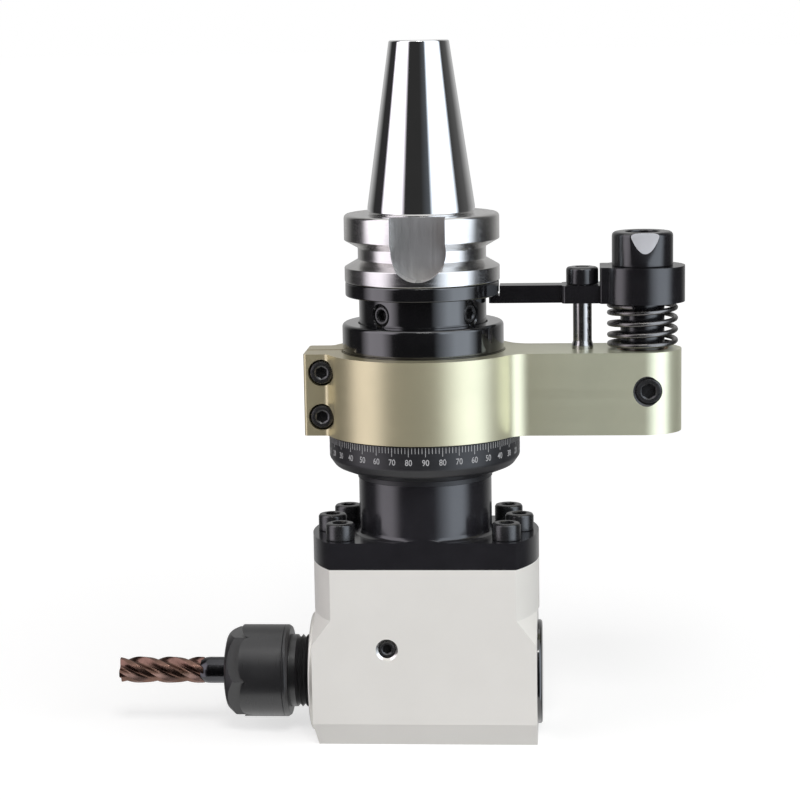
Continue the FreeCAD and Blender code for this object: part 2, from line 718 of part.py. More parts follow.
def make_neck():
    plate = plate_outline("plate", case_top, plate_top)
    neck, spigot, tunnel = D.neck_d / 2, D.spigot_d / 2, D.tunnel_d / 2
    race = D.in_bearing_d / 2
    f = D.neck_fillet
    tube = turned("neck_tube", [
        (tunnel, case_top), (neck + f, case_top), (neck + f, plate_top), (neck + f * 0.3, plate_top + f * 0.3),
        (neck, plate_top + f), (neck, sleeve_low), (spigot, sleeve_low),
        (spigot, sleeve_low + D.spigot_h), (tunnel, sleeve_low + D.spigot_h)])
    slab = block("neck_slab", (-D.case_d, -(D.case_t / 2), case_top),
                 (D.case_d, D.case_t / 2, sleeve_top))
    trimmed = common("neck_trimmed", [tube, slab])
    whole = fuse("neck_whole", [plate, trimmed])
    pocket = rod("lower_race_bore", D.in_bearing_d, D.plate_h + D.in_bearing_h, (ZERO, ZERO, case_top))
    well = rod("neck_well", D.tunnel_d, D.plate_h, (ZERO, ZERO, case_top))
    holes = plate_holes("plate_hole", D.plate_screw_d, case_top - 1, D.plate_h + 2)
    keep("neck_housing", cut("neck", whole, [pocket, well] + holes))
    screw = cap_screw("plate_screw", D.plate_screw_d, D.plate_screw_len, D.plate_head_d,
                      D.plate_screw_d, D.plate_hex)
    top = Vector(0, 0, float(plate_top))
    copies("plate_screws", screw, [FreeCAD.Placement(p + top, Rotation()) for p in plate_points()])
    keep("plate_seal", turned("seal_ring", ring(D.seal_d / 2, D.seal_d / 2 - D.seal_w,
                                                case_top - D.seal_w, case_top)))


# Gear housing: turned above, square below, bored across for the tool spindle
def make_gear_housing():
    half_t, radius = D.case_t / 2, D.case_d / 2
    upper = plate_outline("case_upper", D.flat_top, case_top)
    lower = block("case_lower", (-side, -half_t, ZERO), (side, half_t, D.flat_top))
    shoulder_r = radius + D.shoulder_out
    envelope = turned("case_shoulder", [
        (ZERO, ZERO), (radius * 2, ZERO), (radius * 2, D.flat_top - D.shoulder_h),
        (shoulder_r, D.flat_top - D.shoulder_h), (radius, D.flat_top), (ZERO, D.flat_top)])
    lower = common("case_lower_trimmed", [lower, envelope])
    solid = fuse("case_solid", [upper, lower])
    bevels = []
    for name, sign in (("front", -1), ("back", 1)):
        bevels.append(bevel_prism("foot_" + name, [
            (half_t * sign, D.foot_h), ((half_t - D.foot_in) * sign, ZERO),
            ((half_t + 1) * sign, ZERO)], "YZ_Plane", D.case_w + 4))
    bevels.append(bevel_prism("foot_side", [
        (-side, D.foot_h), (-(side - D.foot_in_side), ZERO), (-(side + 1), ZERO)],
        "XZ_Plane", D.case_t + 4))
    cross = rod("spindle_bore", D.out_bearing_d, side + 1 - D.out_bearing_at,
                (-D.out_bearing_at, ZERO, D.tool_z), TO_TOOL)
    room = rod("gear_room", D.gear_room_d, D.rear_bearing_at + D.out_bearing_at,
               (D.rear_bearing_at, ZERO, D.tool_z), TO_TOOL)
    rear = rod("rear_bore", D.rear_bearing_d, side + 1, (side + 1, ZERO, D.tool_z), TO_TOOL)
    chamber = rod("chamber", D.chamber_d, case_top - D.tool_z + 1, (ZERO, ZERO, D.tool_z))
    groove = turned("seal_groove", ring(D.seal_d / 2, D.seal_d / 2 - D.seal_w,
                                        case_top - D.seal_w, case_top + 1))
    grease = rod("grease_hole", D.grease_d, half_t + 1, (-D.grease_x, ZERO, D.grease_z), TO_FRONT)
    sink = cone("grease_sink", D.grease_d, D.grease_d + D.sink_w * 2, D.sink_w,
                (-D.grease_x, -(half_t - D.sink_w), D.grease_z), TO_FRONT)
    depth = D.plate_screw_len - D.plate_h
    holes = plate_holes("case_hole", D.plate_screw_d, case_top - depth, depth + 1)
    keep("gear_housing", cut("case", solid, bevels + [cross, room, rear, chamber, groove, grease, sink]
                             + holes))
    screw = set_screw("grease_plug", D.grease_d, D.grease_len, D.grease_hex)
    at = Vector(-float(D.grease_x), -float(half_t - D.sink_w), float(D.grease_z))
    copies("grease_screw", screw, [FreeCAD.Placement(at, TO_FRONT)])


def bevel_prism(name, corners, role, length):
    """Prism across the housing, centred on it, from three corners."""
    body = doc.addObject("PartDesign::Body", name)
    sketch = outline(body, name + "_outline", role, corners)
    pad = body.newObject("PartDesign::Pad", name + "_pad")
    pad.Profile = sketch
    bind(pad, "Length", length)
    pad.Midplane = True
    sketch.Visibility = False
    return body


# Tool spindle with threaded nose, its nuts, seals, caps and bearings
def make_tool_spindle():
    core, seat = D.out_core_d / 2, D.out_seat_d / 2
    tail, nose, root = D.rear_seat_d / 2, D.nose_d / 2, D.nose_root_d / 2
    slope = math.tan(math.radians(float(D.socket_angle)))
    socket = D.socket_d / 2
    deep = D.collet_back - 1
    bottom = D.shank_in - D.shank_room
    b = D.edge_break
    corners = [
        (ZERO, spindle_tail), (tail, spindle_tail), (tail, -gear_front), (core, -gear_front),
        (core, D.out_bearing_at - D.preload_nut_w), (seat, D.out_bearing_at - D.preload_nut_w),
        (seat, front_end), (seat + b, front_end), (seat + b, front_end + D.labyrinth),
        (nose, front_end + D.labyrinth)]
    station = nose_face + 0.2
    corners.append((nose, station))
    for i in range(3):
        turn = station + D.thread_pitch * i
        corners += [(root, turn + D.thread_pitch / 2), (nose, turn + D.thread_pitch)]
    corners += [(nose, D.nose_end), (socket, D.nose_end),
                (socket - (D.nose_end - deep) * slope, deep),
                (D.cutter_d / 2, deep), (D.cutter_d / 2, bottom), (ZERO, bottom)]
    keep("tool_spindle", on_tool_axis("spindle", corners))
    keep("preload_nut", on_tool_axis("nut_out", ring(D.preload_nut_d / 2, seat,
                                                     D.out_bearing_at - D.preload_nut_w,
                                                     D.out_bearing_at)))
    keep("rear_nut", on_tool_axis("nut_rear", ring(D.rear_nut_d / 2, tail,
                                                   rear_far - D.rear_nut_w, rear_far)))
    keep("gear_spacer", on_tool_axis("spacer_rear", ring(tail + D.spacer_t, tail,
                                                         rear_near, -gear_back)))
    at = (ZERO, ZERO, D.tool_z)
    bearing("front_bearing_a", D.out_seat_d, D.out_bearing_d, D.out_bearing_at, D.out_bearing_w, at, TO_TOOL)
    bearing("front_bearing_b", D.out_seat_d, D.out_bearing_d, front_mid, D.out_bearing_w, at, TO_TOOL)
    bearing("rear_bearing", D.rear_seat_d, D.rear_bearing_d, rear_far, D.rear_bearing_w, at, TO_TOOL)
    cap, plug, gap = D.nose_cap_d / 2, D.out_bearing_d / 2, D.labyrinth
    lip = nose + D.nose_seal_w
    keep("nose_cap", on_tool_axis("nose_ring", [
        (nose + gap, front_end), (plug, front_end), (plug, side), (cap, side),
        (cap, nose_face - b), (cap - b, nose_face), (lip, nose_face), (lip, side),
        (nose + gap, side)]))
    keep("nose_seal", on_tool_axis("nose_lip", ring(lip, nose + D.ring_play, side, nose_face - b)))
    rear, rear_plug = D.rear_cap_d / 2, D.rear_bearing_d / 2
    rim = rear_plug - D.rear_cap_wall
    keep("rear_cap", on_tool_axis("rear_plate", [
        (ZERO, -(side + D.rear_cap_t)), (rear - b * 1.6, -(side + D.rear_cap_t)),
        (rear - b * 0.5, -(side + D.rear_cap_t - b * 0.5)), (rear, -(side + D.rear_cap_t - b * 1.6)),
        (rear, -side), (rear_plug, -side), (rear_plug, rear_far), (rim, rear_far),
        (rim, -side), (ZERO, -side)]))


# Collet, collet nut and end mill
def make_collet_set():
    slope = math.tan(math.radians(float(D.socket_angle)))
    socket, grip = D.socket_d / 2, D.cutter_d / 2
    front = D.nose_end
    mouth = D.nut_mouth_d / 2
    step = front + D.collet_groove
    nose_slope = math.tan(math.radians(30))
    blank = on_tool_axis("collet_blank", [
        (grip, D.collet_back), (socket - (front - D.collet_back) * slope, D.collet_back),
        (socket, front), (socket - 1, front), (socket - 1, step), (socket, step),
        (socket - (D.collet_front - step) * nose_slope, D.collet_front), (grip, D.collet_front)])
    slots = []
    for i in range(8):
        from_front = i % 2 == 0
        low = D.collet_back + D.collet_back_web if from_front else D.collet_back - 1
        high = D.collet_front + 1 if from_front else D.collet_front - D.collet_front_web
        slot = doc.addObject("Part::Box", "collet_slot")
        bind(slot, "Length", socket * 2)
        bind(slot, "Width", D.collet_slot)
        bind(slot, "Height", high - low)
        spoke = TO_TOOL.multiply(Rotation(Vector(0, 0, 1), 45 * i))
        shift = spoke.multVec(Vector(0, -float(D.collet_slot) / 2, float(low)))
        slot.Placement = FreeCAD.Placement(shift + Vector(0, 0, float(D.tool_z)), spoke)
        slots.append(slot)
    keep("collet", cut("collet_cut", blank, slots))
    outer, bore = D.nut_d / 2, D.nose_d / 2
    end = D.nut_at + D.nut_len
    b = D.edge_break
    turning = on_tool_axis("nut_turning", [
        (bore, D.nut_at), (outer - b, D.nut_at), (outer, D.nut_at + b), (outer, end - 3.2),
        (outer - 1.6, end - 1.5), (mouth + 1.2, end), (mouth, end),
        (mouth, step + (socket - mouth) / nose_slope), (socket, step), (bore, step)])
    round_part = rod("nut_round", D.nut_d + 2, D.nut_round_len,
                     (-D.nut_at, ZERO, D.tool_z), TO_TOOL)
    hex_part = hexagon("nut_hex_part", D.nut_hex, D.nut_len, (-D.nut_at, ZERO, D.tool_z),
                       TO_TOOL.multiply(Rotation(Vector(0, 0, 1), 90)))
    keep("collet_nut", common("nut", [turning, fuse("nut_form", [round_part, hex_part])]))
    keep_shape("end_mill", end_mill(), (ZERO, ZERO, D.tool_z), TO_TOOL)


def flute_section(radius, web, height, turn):
    """Cross-section of the fluted part: four lands with hollows between."""
    points = []
    for i in range(4):
        start = math.radians(90 * i) + turn
        for angle, reach in ((0, radius), (18, radius * 0.97), (34, web), (62, web * 1.02), (80, radius * 0.86)):
            a = start + math.radians(angle)
            points.append(Vector(reach * math.cos(a), reach * math.sin(a), height))
    return Part.makePolygon(points + points[:1])


def end_mill():
    """End mill along +Z. Its heights are the stations on the tool axis."""
    radius = float(D.cutter_d) / 2
    web = radius * float(D.cutter_core)
    tip, flutes = float(D.cutter_tip), float(D.flute_len)
    start = tip - flutes
    shank = Part.makeCylinder(radius, start - float(D.shank_in), Vector(0, 0, float(D.shank_in)))
    steps = 18
    sections = []
    for i in range(steps + 1):
        share = i / steps
        turn = math.radians(float(D.flute_turn)) * share
        sections.append(flute_section(radius, web, start + flutes * share, turn))
    fluted = Part.makeLoft(sections, True, True)
    return shank.fuse(fluted)


# Clamp ring with lug and arm, and its screws
def add_pad(body, sketch, height, low):
    bind(sketch, "AttachmentOffset.Base.z", low)
    pad = body.newObject("PartDesign::Pad", sketch.Name + "_pad")
    pad.Profile = sketch
    bind(pad, "Length", height)
    sketch.Visibility = False
    return pad


def upright_edges(shape, x, y, slack=0.05):
    """Names of the vertical edges that stand at |x|, |y|."""
    names = []
    for i, edge in enumerate(shape.Edges, start=1):
        ends = [v.Point for v in edge.Vertexes]
        if len(ends) != 2 or abs(ends[0].z - ends[1].z) < 1:
            continue
        if all(abs(p.x - x) < slack and abs(abs(p.y) - y) < slack for p in ends):
            names.append("Edge%d" % i)
    return names


def make_clamp_arm():
    half, lug_half, radius = D.arm_t / 2, D.lug_t / 2, D.ring_d / 2
    body = doc.addObject("PartDesign::Body", "arm_body")
    add_pad(body, circle(body, "ring_circle", ZERO, D.ring_d), D.clamp_h, clamp_low)
    add_pad(body, outline(body, "arm_plan", "XY_Plane", [
        (ZERO, -half), (D.pin_x, -half), (D.pin_x, half), (ZERO, half)]), D.clamp_h, clamp_low)
    add_pad(body, circle(body, "arm_end", D.pin_x, D.arm_t), D.clamp_h, clamp_low)
    add_pad(body, outline(body, "lug_plan", "XY_Plane", [
        (-D.lug_x, -lug_half), (ZERO, -lug_half), (ZERO, lug_half), (-D.lug_x, lug_half)]),
        D.clamp_h, clamp_low)
    doc.recompute()
    corner_sets = []
    arm_x = math.sqrt(float(radius) ** 2 - float(half) ** 2)
    lug_x = -math.sqrt(float(radius) ** 2 - float(lug_half) ** 2)
    corner_sets.append((arm_x, float(half), D.arm_fillet, "arm_root"))
    corner_sets.append((lug_x, float(lug_half), D.lug_fillet, "lug_root"))
    corner_sets.append((-float(D.lug_x), float(lug_half), D.edge_break * 2, "lug_corner"))
    for x, y, size, name in corner_sets:
        base = body.Tip
        fillet = body.newObject("PartDesign::Fillet", name)
        fillet.Base = (base, upright_edges(base.Shape, x, y))
        bind(fillet, "Radius", size)
        doc.recompute()
    tools = [
        rod("ring_bore", D.body_d + D.ring_play * 2, D.clamp_h + 2, (ZERO, ZERO, clamp_low - 1)),
        block("ring_slit", (-(D.lug_x + 1), -(D.slit_w / 2), clamp_low - 1),
              (-(D.body_d / 2 - 1), D.slit_w / 2, clamp_top + 1)),
        rod("bush_bore", D.stem_d + D.slide_play * 2 + D.bush_t * 2, D.stem_room,
            (D.pin_x, ZERO, clamp_top - D.stem_room)),
        rod("post_bore", D.post_thread_d, D.post_thread_len + 1,
            (D.post_x, ZERO, clamp_top - D.post_thread_len))]
    screw_y = lug_half - D.clamp_sink - D.clamp_head_h
    levels = (clamp_low + D.lug_screw_low, clamp_low + D.lug_screw_low + D.lug_screw_gap)
    for i, level in enumerate(levels):
        tools.append(rod("clamp_bore_%d" % i, D.clamp_bore_d, D.arm_t, (-D.lug_screw_x, -screw_y, level), TO_FRONT))
        tools.append(rod("clamp_hole_%d" % i, D.clamp_screw_d, D.clamp_screw_len,
                         (-D.lug_screw_x, -screw_y + D.clamp_screw_len, level), TO_FRONT))
    arm_level = clamp_top - D.arm_screw_drop
    arm_screw_x = D.pin_x + D.arm_screw_past
    tools.append(rod("arm_screw_bore", D.arm_screw_d, half + 1, (arm_screw_x, ZERO, arm_level), TO_FRONT))
    tools.append(cone("arm_screw_sink", D.arm_screw_d, D.arm_screw_d + D.sink_w * 2, D.sink_w,
                      (arm_screw_x, -(half - D.sink_w), arm_level), TO_FRONT))
    keep("clamp_arm", cut("arm", body, tools))
    screw = cap_screw("clamp_screw", D.clamp_screw_d, D.clamp_screw_len, D.clamp_head_d,
                      D.clamp_head_h, D.clamp_hex)
    copies("clamp_screws", screw, [
        FreeCAD.Placement(Vector(-float(D.lug_screw_x), -float(screw_y), float(level)), TO_FRONT)
        for level in levels])
    plug = set_screw("arm_plug", D.arm_screw_d, D.arm_screw_len, D.arm_screw_hex)
    at = Vector(float(arm_screw_x), -float(half - D.edge_break), float(arm_level))
    copies("arm_screw", plug, [FreeCAD.Placement(at, TO_FRONT)])
    bush = D.stem_d / 2 + D.slide_play
    keep("pin_bush", turned("bush", ring(bush + D.bush_t, bush, clamp_top - D.bush_len, clamp_top),
                            (D.pin_x, ZERO, ZERO)))


# Stop pin, lock lever, guide post and spring
def make_stop_pin():
    radius, stem, bore, b = D.pin_d / 2, D.stem_d / 2, D.pin_bore_d / 2, D.edge_break
    top = eye_top + D.pin_h
    body = turned("pin_turning", [
        (ZERO, stem_low), (stem, stem_low), (stem, eye_top), (radius, eye_top), (radius, top - b),
        (radius - b, top), (bore, top), (bore, top - D.pin_bore_h), (ZERO, top - D.pin_bore_h)],
        (D.pin_x, ZERO, ZERO))
    lean = math.degrees(math.atan2(float(D.pin_flat_in), float(D.pin_flat_h)))
    flat = doc.addObject("Part::Box", "pin_flat")
    bind(flat, "Length", D.pin_d * 2)
    bind(flat, "Width", D.pin_d)
    bind(flat, "Height", D.pin_h * 2)
    foot = Vector(float(D.pin_x - D.pin_d), -float(radius), float(top - D.pin_flat_h))
    turn = Rotation(Vector(1, 0, 0), -lean)
    flat.Placement = FreeCAD.Placement(foot + turn.multVec(Vector(0, -float(D.pin_d), 0)), turn)
    keep("stop_pin", cut("pin", body, [flat]))
    lever = fuse("lever_form", [
        rod("pin_eye", D.eye_d, D.eye_h, (D.pin_x, ZERO, lever_low)),
        block("eye_block", (D.pin_x - D.eye_d / 2, -(D.eye_block_t / 2), lever_low),
              (D.pin_x, D.eye_block_t / 2, eye_top)),
        rod("post_eye", D.post_eye_d, D.lever_t, (D.post_x, ZERO, lever_low)),
        block("lever_bar", (D.lever_tip, -(D.lever_w / 2), lever_low),
              (D.pin_x, D.lever_w / 2, lever_top))])
    lip_end = D.collar_d / 2 + 0.4
    keep("lock_lever", cut("lever", lever, [
        rod("eye_bore", D.stem_d, D.eye_h + 2, (D.pin_x, ZERO, lever_low - 1)),
        rod("post_eye_bore", D.post_d + D.slide_play * 2, D.lever_t + 2,
            (D.post_x, ZERO, lever_low - 1)),
        block("lip_cut", (D.lever_tip - 1, -D.lever_w, lever_low + D.lip_h),
              (lip_end, D.lever_w, lever_top + 1))]))
    post_top = lever_top + D.post_stand
    post, thread, foot = D.post_d / 2, D.post_thread_d / 2, D.post_foot_d / 2
    hole = D.post_screw_d / 2
    at = (D.post_x, ZERO, ZERO)
    keep("guide_post", turned("post", [
        (ZERO, clamp_top - D.post_thread_len), (thread, clamp_top - D.post_thread_len),
        (thread, clamp_top), (foot, clamp_top), (foot, clamp_top + D.post_foot_h),
        (post, clamp_top + D.post_foot_h + b), (post, post_top), (hole, post_top),
        (hole, post_top - D.post_screw_len), (ZERO, post_top - D.post_screw_len)], at))
    screw = cap_screw("post_screw", D.post_screw_d, D.post_screw_len, D.post_head_d, D.post_head_h,
                      D.post_hex)
    copies("guide_screw", screw, [
        FreeCAD.Placement(Vector(float(D.post_x), 0, float(post_top)), Rotation())])
    keep_shape("pin_spring", coil_spring(), (D.pin_x, ZERO, clamp_top))


def coil_spring():
    """Spring round the stem, from the arm's top to the lever's eye."""
    wire = float(D.wire_d)
    mean = float(D.spring_od) / 2 - wire / 2
    turns = float(D.spring_turns)
    low = wire / 2 + float(D.spring_gap)
    height = float(lever_low - clamp_top) - wire - 2 * float(D.spring_gap)
    path = Part.Wire(Part.makeHelix(height / turns, height, mean))
    section = Part.Wire(Part.makeCircle(wire / 2, Vector(mean, 0, 0), Vector(0, 1, 0)))
    spring = path.makePipeShell([section], True, True)
    spring.translate(Vector(0, 0, low))
    return Part.makeCompound([spring])


def check_and_write():
    doc.recompute()
    faults = [o.Name for o in doc.Objects if "Invalid" in o.State or "Error" in o.State]
    for label, item in parts.items():
        shape = item.Shape
        if shape.isNull() or not shape.isValid() or not shape.Solids:
            faults.append(label)
    if faults:
        print("faults:", faults)
        sys.exit(1)
    os.makedirs("parts", exist_ok=True)
    for label, item in parts.items():
        item.Shape.exportStep(os.path.join("parts", label + ".step"))
        box = item.Shape.BoundBox
        print("%-28s solids %2d  volume %10.1f  z %7.2f..%7.2f" % (
            label, len(item.Shape.Solids), item.Shape.Volume, box.ZMin, box.ZMax))
    print(len(parts), "nodes")


make_taper_shank()
make_lock_collar()
make_input_shaft()
make_gears()
make_upper_body()
make_neck()
make_gear_housing()
make_tool_spindle()
make_collet_set()
make_clamp_arm()
make_stop_pin()
check_and_write()
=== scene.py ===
# %% [markdown]
# # An angle head, dressed for the camera
# An angle head turns a milling spindle round a corner: the steel taper on top goes into the
# machine, two mitre gears in the pale housing turn the drive by ninety degrees, and the
# collet nut on the left holds the end mill. The clamp arm and its stop pin keep the housing
# from turning with the spindle. The solids come from CAD, so this lesson only adds what CAD
# left out: soft edges, scale marks, hexagon sockets, finishes and light.

# %% Load the fixed frame
import math

import bmesh
import bpy
from mathutils import Matrix, Vector


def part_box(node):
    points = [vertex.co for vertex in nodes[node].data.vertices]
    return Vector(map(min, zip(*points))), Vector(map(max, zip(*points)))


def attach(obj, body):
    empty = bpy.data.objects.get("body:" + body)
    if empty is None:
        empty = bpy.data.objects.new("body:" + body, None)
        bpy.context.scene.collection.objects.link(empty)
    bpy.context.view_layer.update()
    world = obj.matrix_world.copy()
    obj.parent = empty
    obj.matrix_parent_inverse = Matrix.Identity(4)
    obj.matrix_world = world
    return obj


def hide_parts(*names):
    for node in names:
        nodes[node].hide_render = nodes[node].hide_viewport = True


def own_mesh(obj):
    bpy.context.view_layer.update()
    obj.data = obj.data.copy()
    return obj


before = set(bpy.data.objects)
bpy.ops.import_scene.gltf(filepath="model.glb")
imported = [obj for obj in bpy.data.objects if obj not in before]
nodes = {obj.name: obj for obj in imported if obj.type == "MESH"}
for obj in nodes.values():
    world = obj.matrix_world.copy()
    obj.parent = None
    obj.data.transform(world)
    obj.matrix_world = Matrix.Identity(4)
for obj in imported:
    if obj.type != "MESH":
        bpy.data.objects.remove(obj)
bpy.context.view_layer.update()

# %% [markdown]
# ## Working in millimetres
# Blender counts in metres, but every drawing of this tool is in millimetres. The two axes
# are the spindle axis, straight up at x = y = 0, and the tool axis, which leaves the housing
# to the left at 18 mm above the base.

# %% Sizes and small helpers
MM = 0.001
TOOL_Z = 18.0
PIN_X, POST_X = 65.0, 47.3
WELD = 0.002
ARM_LOW, ARM_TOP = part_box("clamp_arm")[0].z / MM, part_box("clamp_arm")[1].z / MM
LEVER_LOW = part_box("lock_lever")[0].z / MM
COVER_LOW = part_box("bearing_cover")[0].z / MM
print("clamp arm from %.1f to %.1f mm, lever from %.1f mm" % (ARM_LOW, ARM_TOP, LEVER_LOW))


def only(piece=None):
    """Leave edit mode and select this piece alone."""
    if bpy.context.object and bpy.context.object.mode != "OBJECT":
        bpy.ops.object.mode_set(mode="OBJECT")
    bpy.ops.object.select_all(action="DESELECT")
    if piece:
        piece.select_set(True)
        bpy.context.view_layer.objects.active = piece


def bake_place(piece):
    """Move the object's place into its mesh."""
    only(piece)
    bpy.ops.object.transform_apply(location=True, rotation=True, scale=True)
    return piece


def arc(centre, radius, start, stop, steps=8):
    """Points of an arc in the drawing plane, from start to stop in degrees."""
    angles = [math.radians(start + (stop - start) * i / steps) for i in range(steps + 1)]
    return [(centre[0] + radius * math.cos(a), centre[1] + radius * math.sin(a)) for a in angles]


def moved(x, y, z):
    """A shift in millimetres as a matrix."""
    return Matrix.Translation(Vector((x, y, z)) * MM)


def edit_all():
    """Goes into edit mode with all selected."""
    bpy.ops.object.mode_set(mode="EDIT")
    bpy.ops.mesh.select_all(action="SELECT")


def face_out():
    """In edit mode: every face looks outwards, and all of them are selected."""
    bpy.ops.mesh.select_all(action="SELECT")
    bpy.ops.mesh.normals_make_consistent(inside=False)


def pull(push):
    """In edit mode: fills the drawn outline and pulls it out into a solid."""
    bpy.ops.mesh.select_all(action="SELECT")
    bpy.ops.mesh.edge_face_add()
    bpy.ops.mesh.extrude_region_move(TRANSFORM_OT_translate={"value": [part * MM for part in push]})
    face_out()


# %% [markdown]
# ## Rounding a drawn line
# Real machined parts have no sharp corners, and it is the small rounding that catches the
# light. A drawn corner may carry a third number, its radius, and becomes a short arc before
# the line is used. Rounding the line costs less than rounding the finished mesh, and never
# fails where two edges come close.

# %% Soft corners in a drawn line
def soften(corners, steps=4):
    """Turns corners (a, b) or (a, b, radius) into points, with arcs at the rounded ones."""
    points = []
    for i, corner in enumerate(corners):
        here = Vector(corner[:2])
        radius = corner[2] if len(corner) > 2 else 0
        before, after = Vector(corners[i - 1][:2]), Vector(corners[(i + 1) % len(corners)][:2])
        back, on = (before - here), (after - here)
        if not radius or back.length < 1e-9 or on.length < 1e-9:
            points.append(tuple(here))
            continue
        back.normalize()
        on.normalize()
        half = back.angle(on) / 2
        reach = radius / math.tan(half)
        centre = here + (back + on).normalized() * radius / math.sin(half)
        first, last = here + back * reach - centre, here + on * reach - centre
        swing = first.angle_signed(last)
        for k in range(steps + 1):
            turned = first.copy()
            turned.rotate(Matrix.Rotation(-swing * k / steps, 2))
            points.append(tuple(centre + turned))
    return points


# %% [markdown]
# ## Turned pieces
# Most of this tool was made on a lathe: a profile spun round an axis. In Blender the same is
# done with one vertex that is extruded along the profile and then spun a full turn. Three
# directions are enough, up along the spindle, out along the tool axis, and towards the
# viewer for the screws in the front faces.

# %% Draw a line, then spin it
def draw(name, points):
    """Extrudes one vertex along these points and stays in edit mode."""
    only()
    bpy.ops.mesh.primitive_plane_add(size=MM, location=points[0])
    piece = bpy.context.object
    piece.name = piece.data.name = name
    bpy.ops.object.transform_apply(location=True, rotation=False, scale=False)
    edit_all()
    bpy.ops.mesh.merge(type="CENTER")
    for here, there in zip(points, points[1:]):
        step = Vector(there) - Vector(here)
        if step.length > 1e-8:
            bpy.ops.mesh.extrude_region_move(TRANSFORM_OT_translate={"value": step})
    return piece


PLANES = {
    "up": (lambda r, h, x, z: (x + r, 0, h), (0, 0, 1)),
    "tool": (lambda r, h, x, z: (-h, 0, z + r), (1, 0, 0)),
    "front": (lambda r, h, x, z: (x + r, -h, z), (0, 1, 0)),
}


def turn(name, corners, way="up", x=0.0, z=TOOL_Z, steps=96, ring=False):
    """A turned piece from its profile (radius, station). A ring's profile closes on itself."""
    profile = soften(corners)
    if ring:
        profile.append(profile[0])
    put, axis = PLANES[way]
    centre = (0 if way == "tool" else x * MM, 0, 0 if way == "up" else z * MM)
    points = [tuple(c * MM for c in put(r, h, x, z)) for r, h in profile]
    piece = draw(name, points)
    bpy.ops.mesh.select_all(action="SELECT")
    bpy.ops.mesh.spin(steps=steps, angle=2 * math.pi, center=centre, axis=axis)
    bpy.ops.mesh.select_all(action="SELECT")
    bpy.ops.mesh.remove_doubles(threshold=WELD * MM)
    face_out()
    bpy.ops.object.mode_set(mode="OBJECT")
    return piece


# %% [markdown]
# ## Milled pieces
# The arm, the plate and the lever were cut from plate, so each starts as an outline that is
# filled and extruded straight up. Cuts and unions are Boolean modifiers, which is how a
# milling machine thinks too: one tool path at a time.

# %% Extrude an outline, cut, join, round the rims
def extrude(name, outline, low, high, rim=0.0, steps=2):
    """A flat outline pulled up from low to high, with rounded rims."""
    piece = draw(name, [(a * MM, b * MM, low * MM) for a, b in outline])
    bpy.ops.mesh.select_all(action="SELECT")
    bpy.ops.mesh.remove_doubles(threshold=WELD * MM)
    pull((0, 0, high - low))
    if rim:
        bm = bmesh.from_edit_mesh(piece.data)
        for edge in bm.edges:
            edge.select_set(abs(edge.verts[0].co.z - edge.verts[1].co.z) < 1e-7)
        bm.select_flush_mode()
        bpy.ops.mesh.bevel(offset=rim * MM, offset_type="OFFSET", segments=steps, affect="EDGES")
    bpy.ops.object.mode_set(mode="OBJECT")
    return piece


def block(name, low, high):
    """A rectangular block between two corners, mostly used as a cutter."""
    only()
    bpy.ops.mesh.primitive_cube_add(size=MM, location=[(a + b) / 2 * MM for a, b in zip(low, high)])
    piece = bpy.context.object
    piece.name = piece.data.name = name
    piece.scale = [b - a for a, b in zip(low, high)]
    return bake_place(piece)


def combine(piece, other, how="DIFFERENCE"):
    """Cuts with, adds or keeps what two pieces share, and drops the second piece."""
    only(piece)
    modifier = piece.modifiers.new("combine", "BOOLEAN")
    modifier.operation, modifier.solver, modifier.object = how, "EXACT", other
    bpy.ops.object.modifier_apply(modifier=modifier.name)
    bpy.data.objects.remove(other)
    return piece


def tidy_planes(piece):
    """Joins faces that lie in one plane, which Boolean cuts leave in pieces."""
    only(piece)
    edit_all()
    bpy.ops.mesh.remove_doubles(threshold=0.003 * MM)
    bpy.ops.mesh.dissolve_limited(angle_limit=math.radians(0.3))
    bpy.ops.object.mode_set(mode="OBJECT")


def round_edges(piece, width, steps=2, angle=30):
    """A Bevel modifier on every edge sharper than the angle, applied."""
    only(piece)
    modifier = piece.modifiers.new("edges", "BEVEL")
    modifier.width, modifier.segments = width * MM, steps
    modifier.limit_method, modifier.angle_limit = "ANGLE", math.radians(angle)
    bpy.ops.object.modifier_apply(modifier=modifier.name)
    return piece


# %% [markdown]
# ## Handing a piece over
# Each finished piece takes its shading, its material and its place in the machine in one
# step: it stands for a CAD node, and rides on the same body as that node, so that it turns
# or slides with the rest.


def hand_over(piece, body, finish, *stands_for, angle=32):
    """Smooth shading, material, and the body that the piece rides on."""
    only(piece)
    bpy.ops.object.shade_smooth_by_angle(angle=math.radians(angle))
    even = piece.modifiers.new("even", "WEIGHTED_NORMAL")
    even.keep_sharp, even.weight = True, 80
    bpy.ops.object.modifier_apply(modifier=even.name)
    if not piece.data.materials:
        piece.data.materials.append(finish)
    elif piece.data.materials[0] is None:
        piece.data.materials[0] = finish
    if stands_for:
        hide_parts(*stands_for)
    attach(piece, body)
    print("%-18s %6d faces on %s" % (piece.name, len(piece.data.polygons), body))
    return piece


def copy_of(piece, name, matrix):
    """A copy with its own mesh, placed by a matrix that ends up in the mesh."""
    only(piece)
    bpy.ops.object.duplicate(linked=False)
    twin = bpy.context.object
    twin.name = twin.data.name = name
    twin.matrix_world = matrix
    return bake_place(twin)


def hand_over_copies(piece, body, finish, node, places):
    """A copy at each place. The first stands for the CAD node, which holds them all."""
    for k, place in enumerate(places):
        hand_over(copy_of(piece, "%s_%d" % (node[:-1], k), place), body, finish, *([node] if k == 0 else []))
    bpy.data.objects.remove(piece)


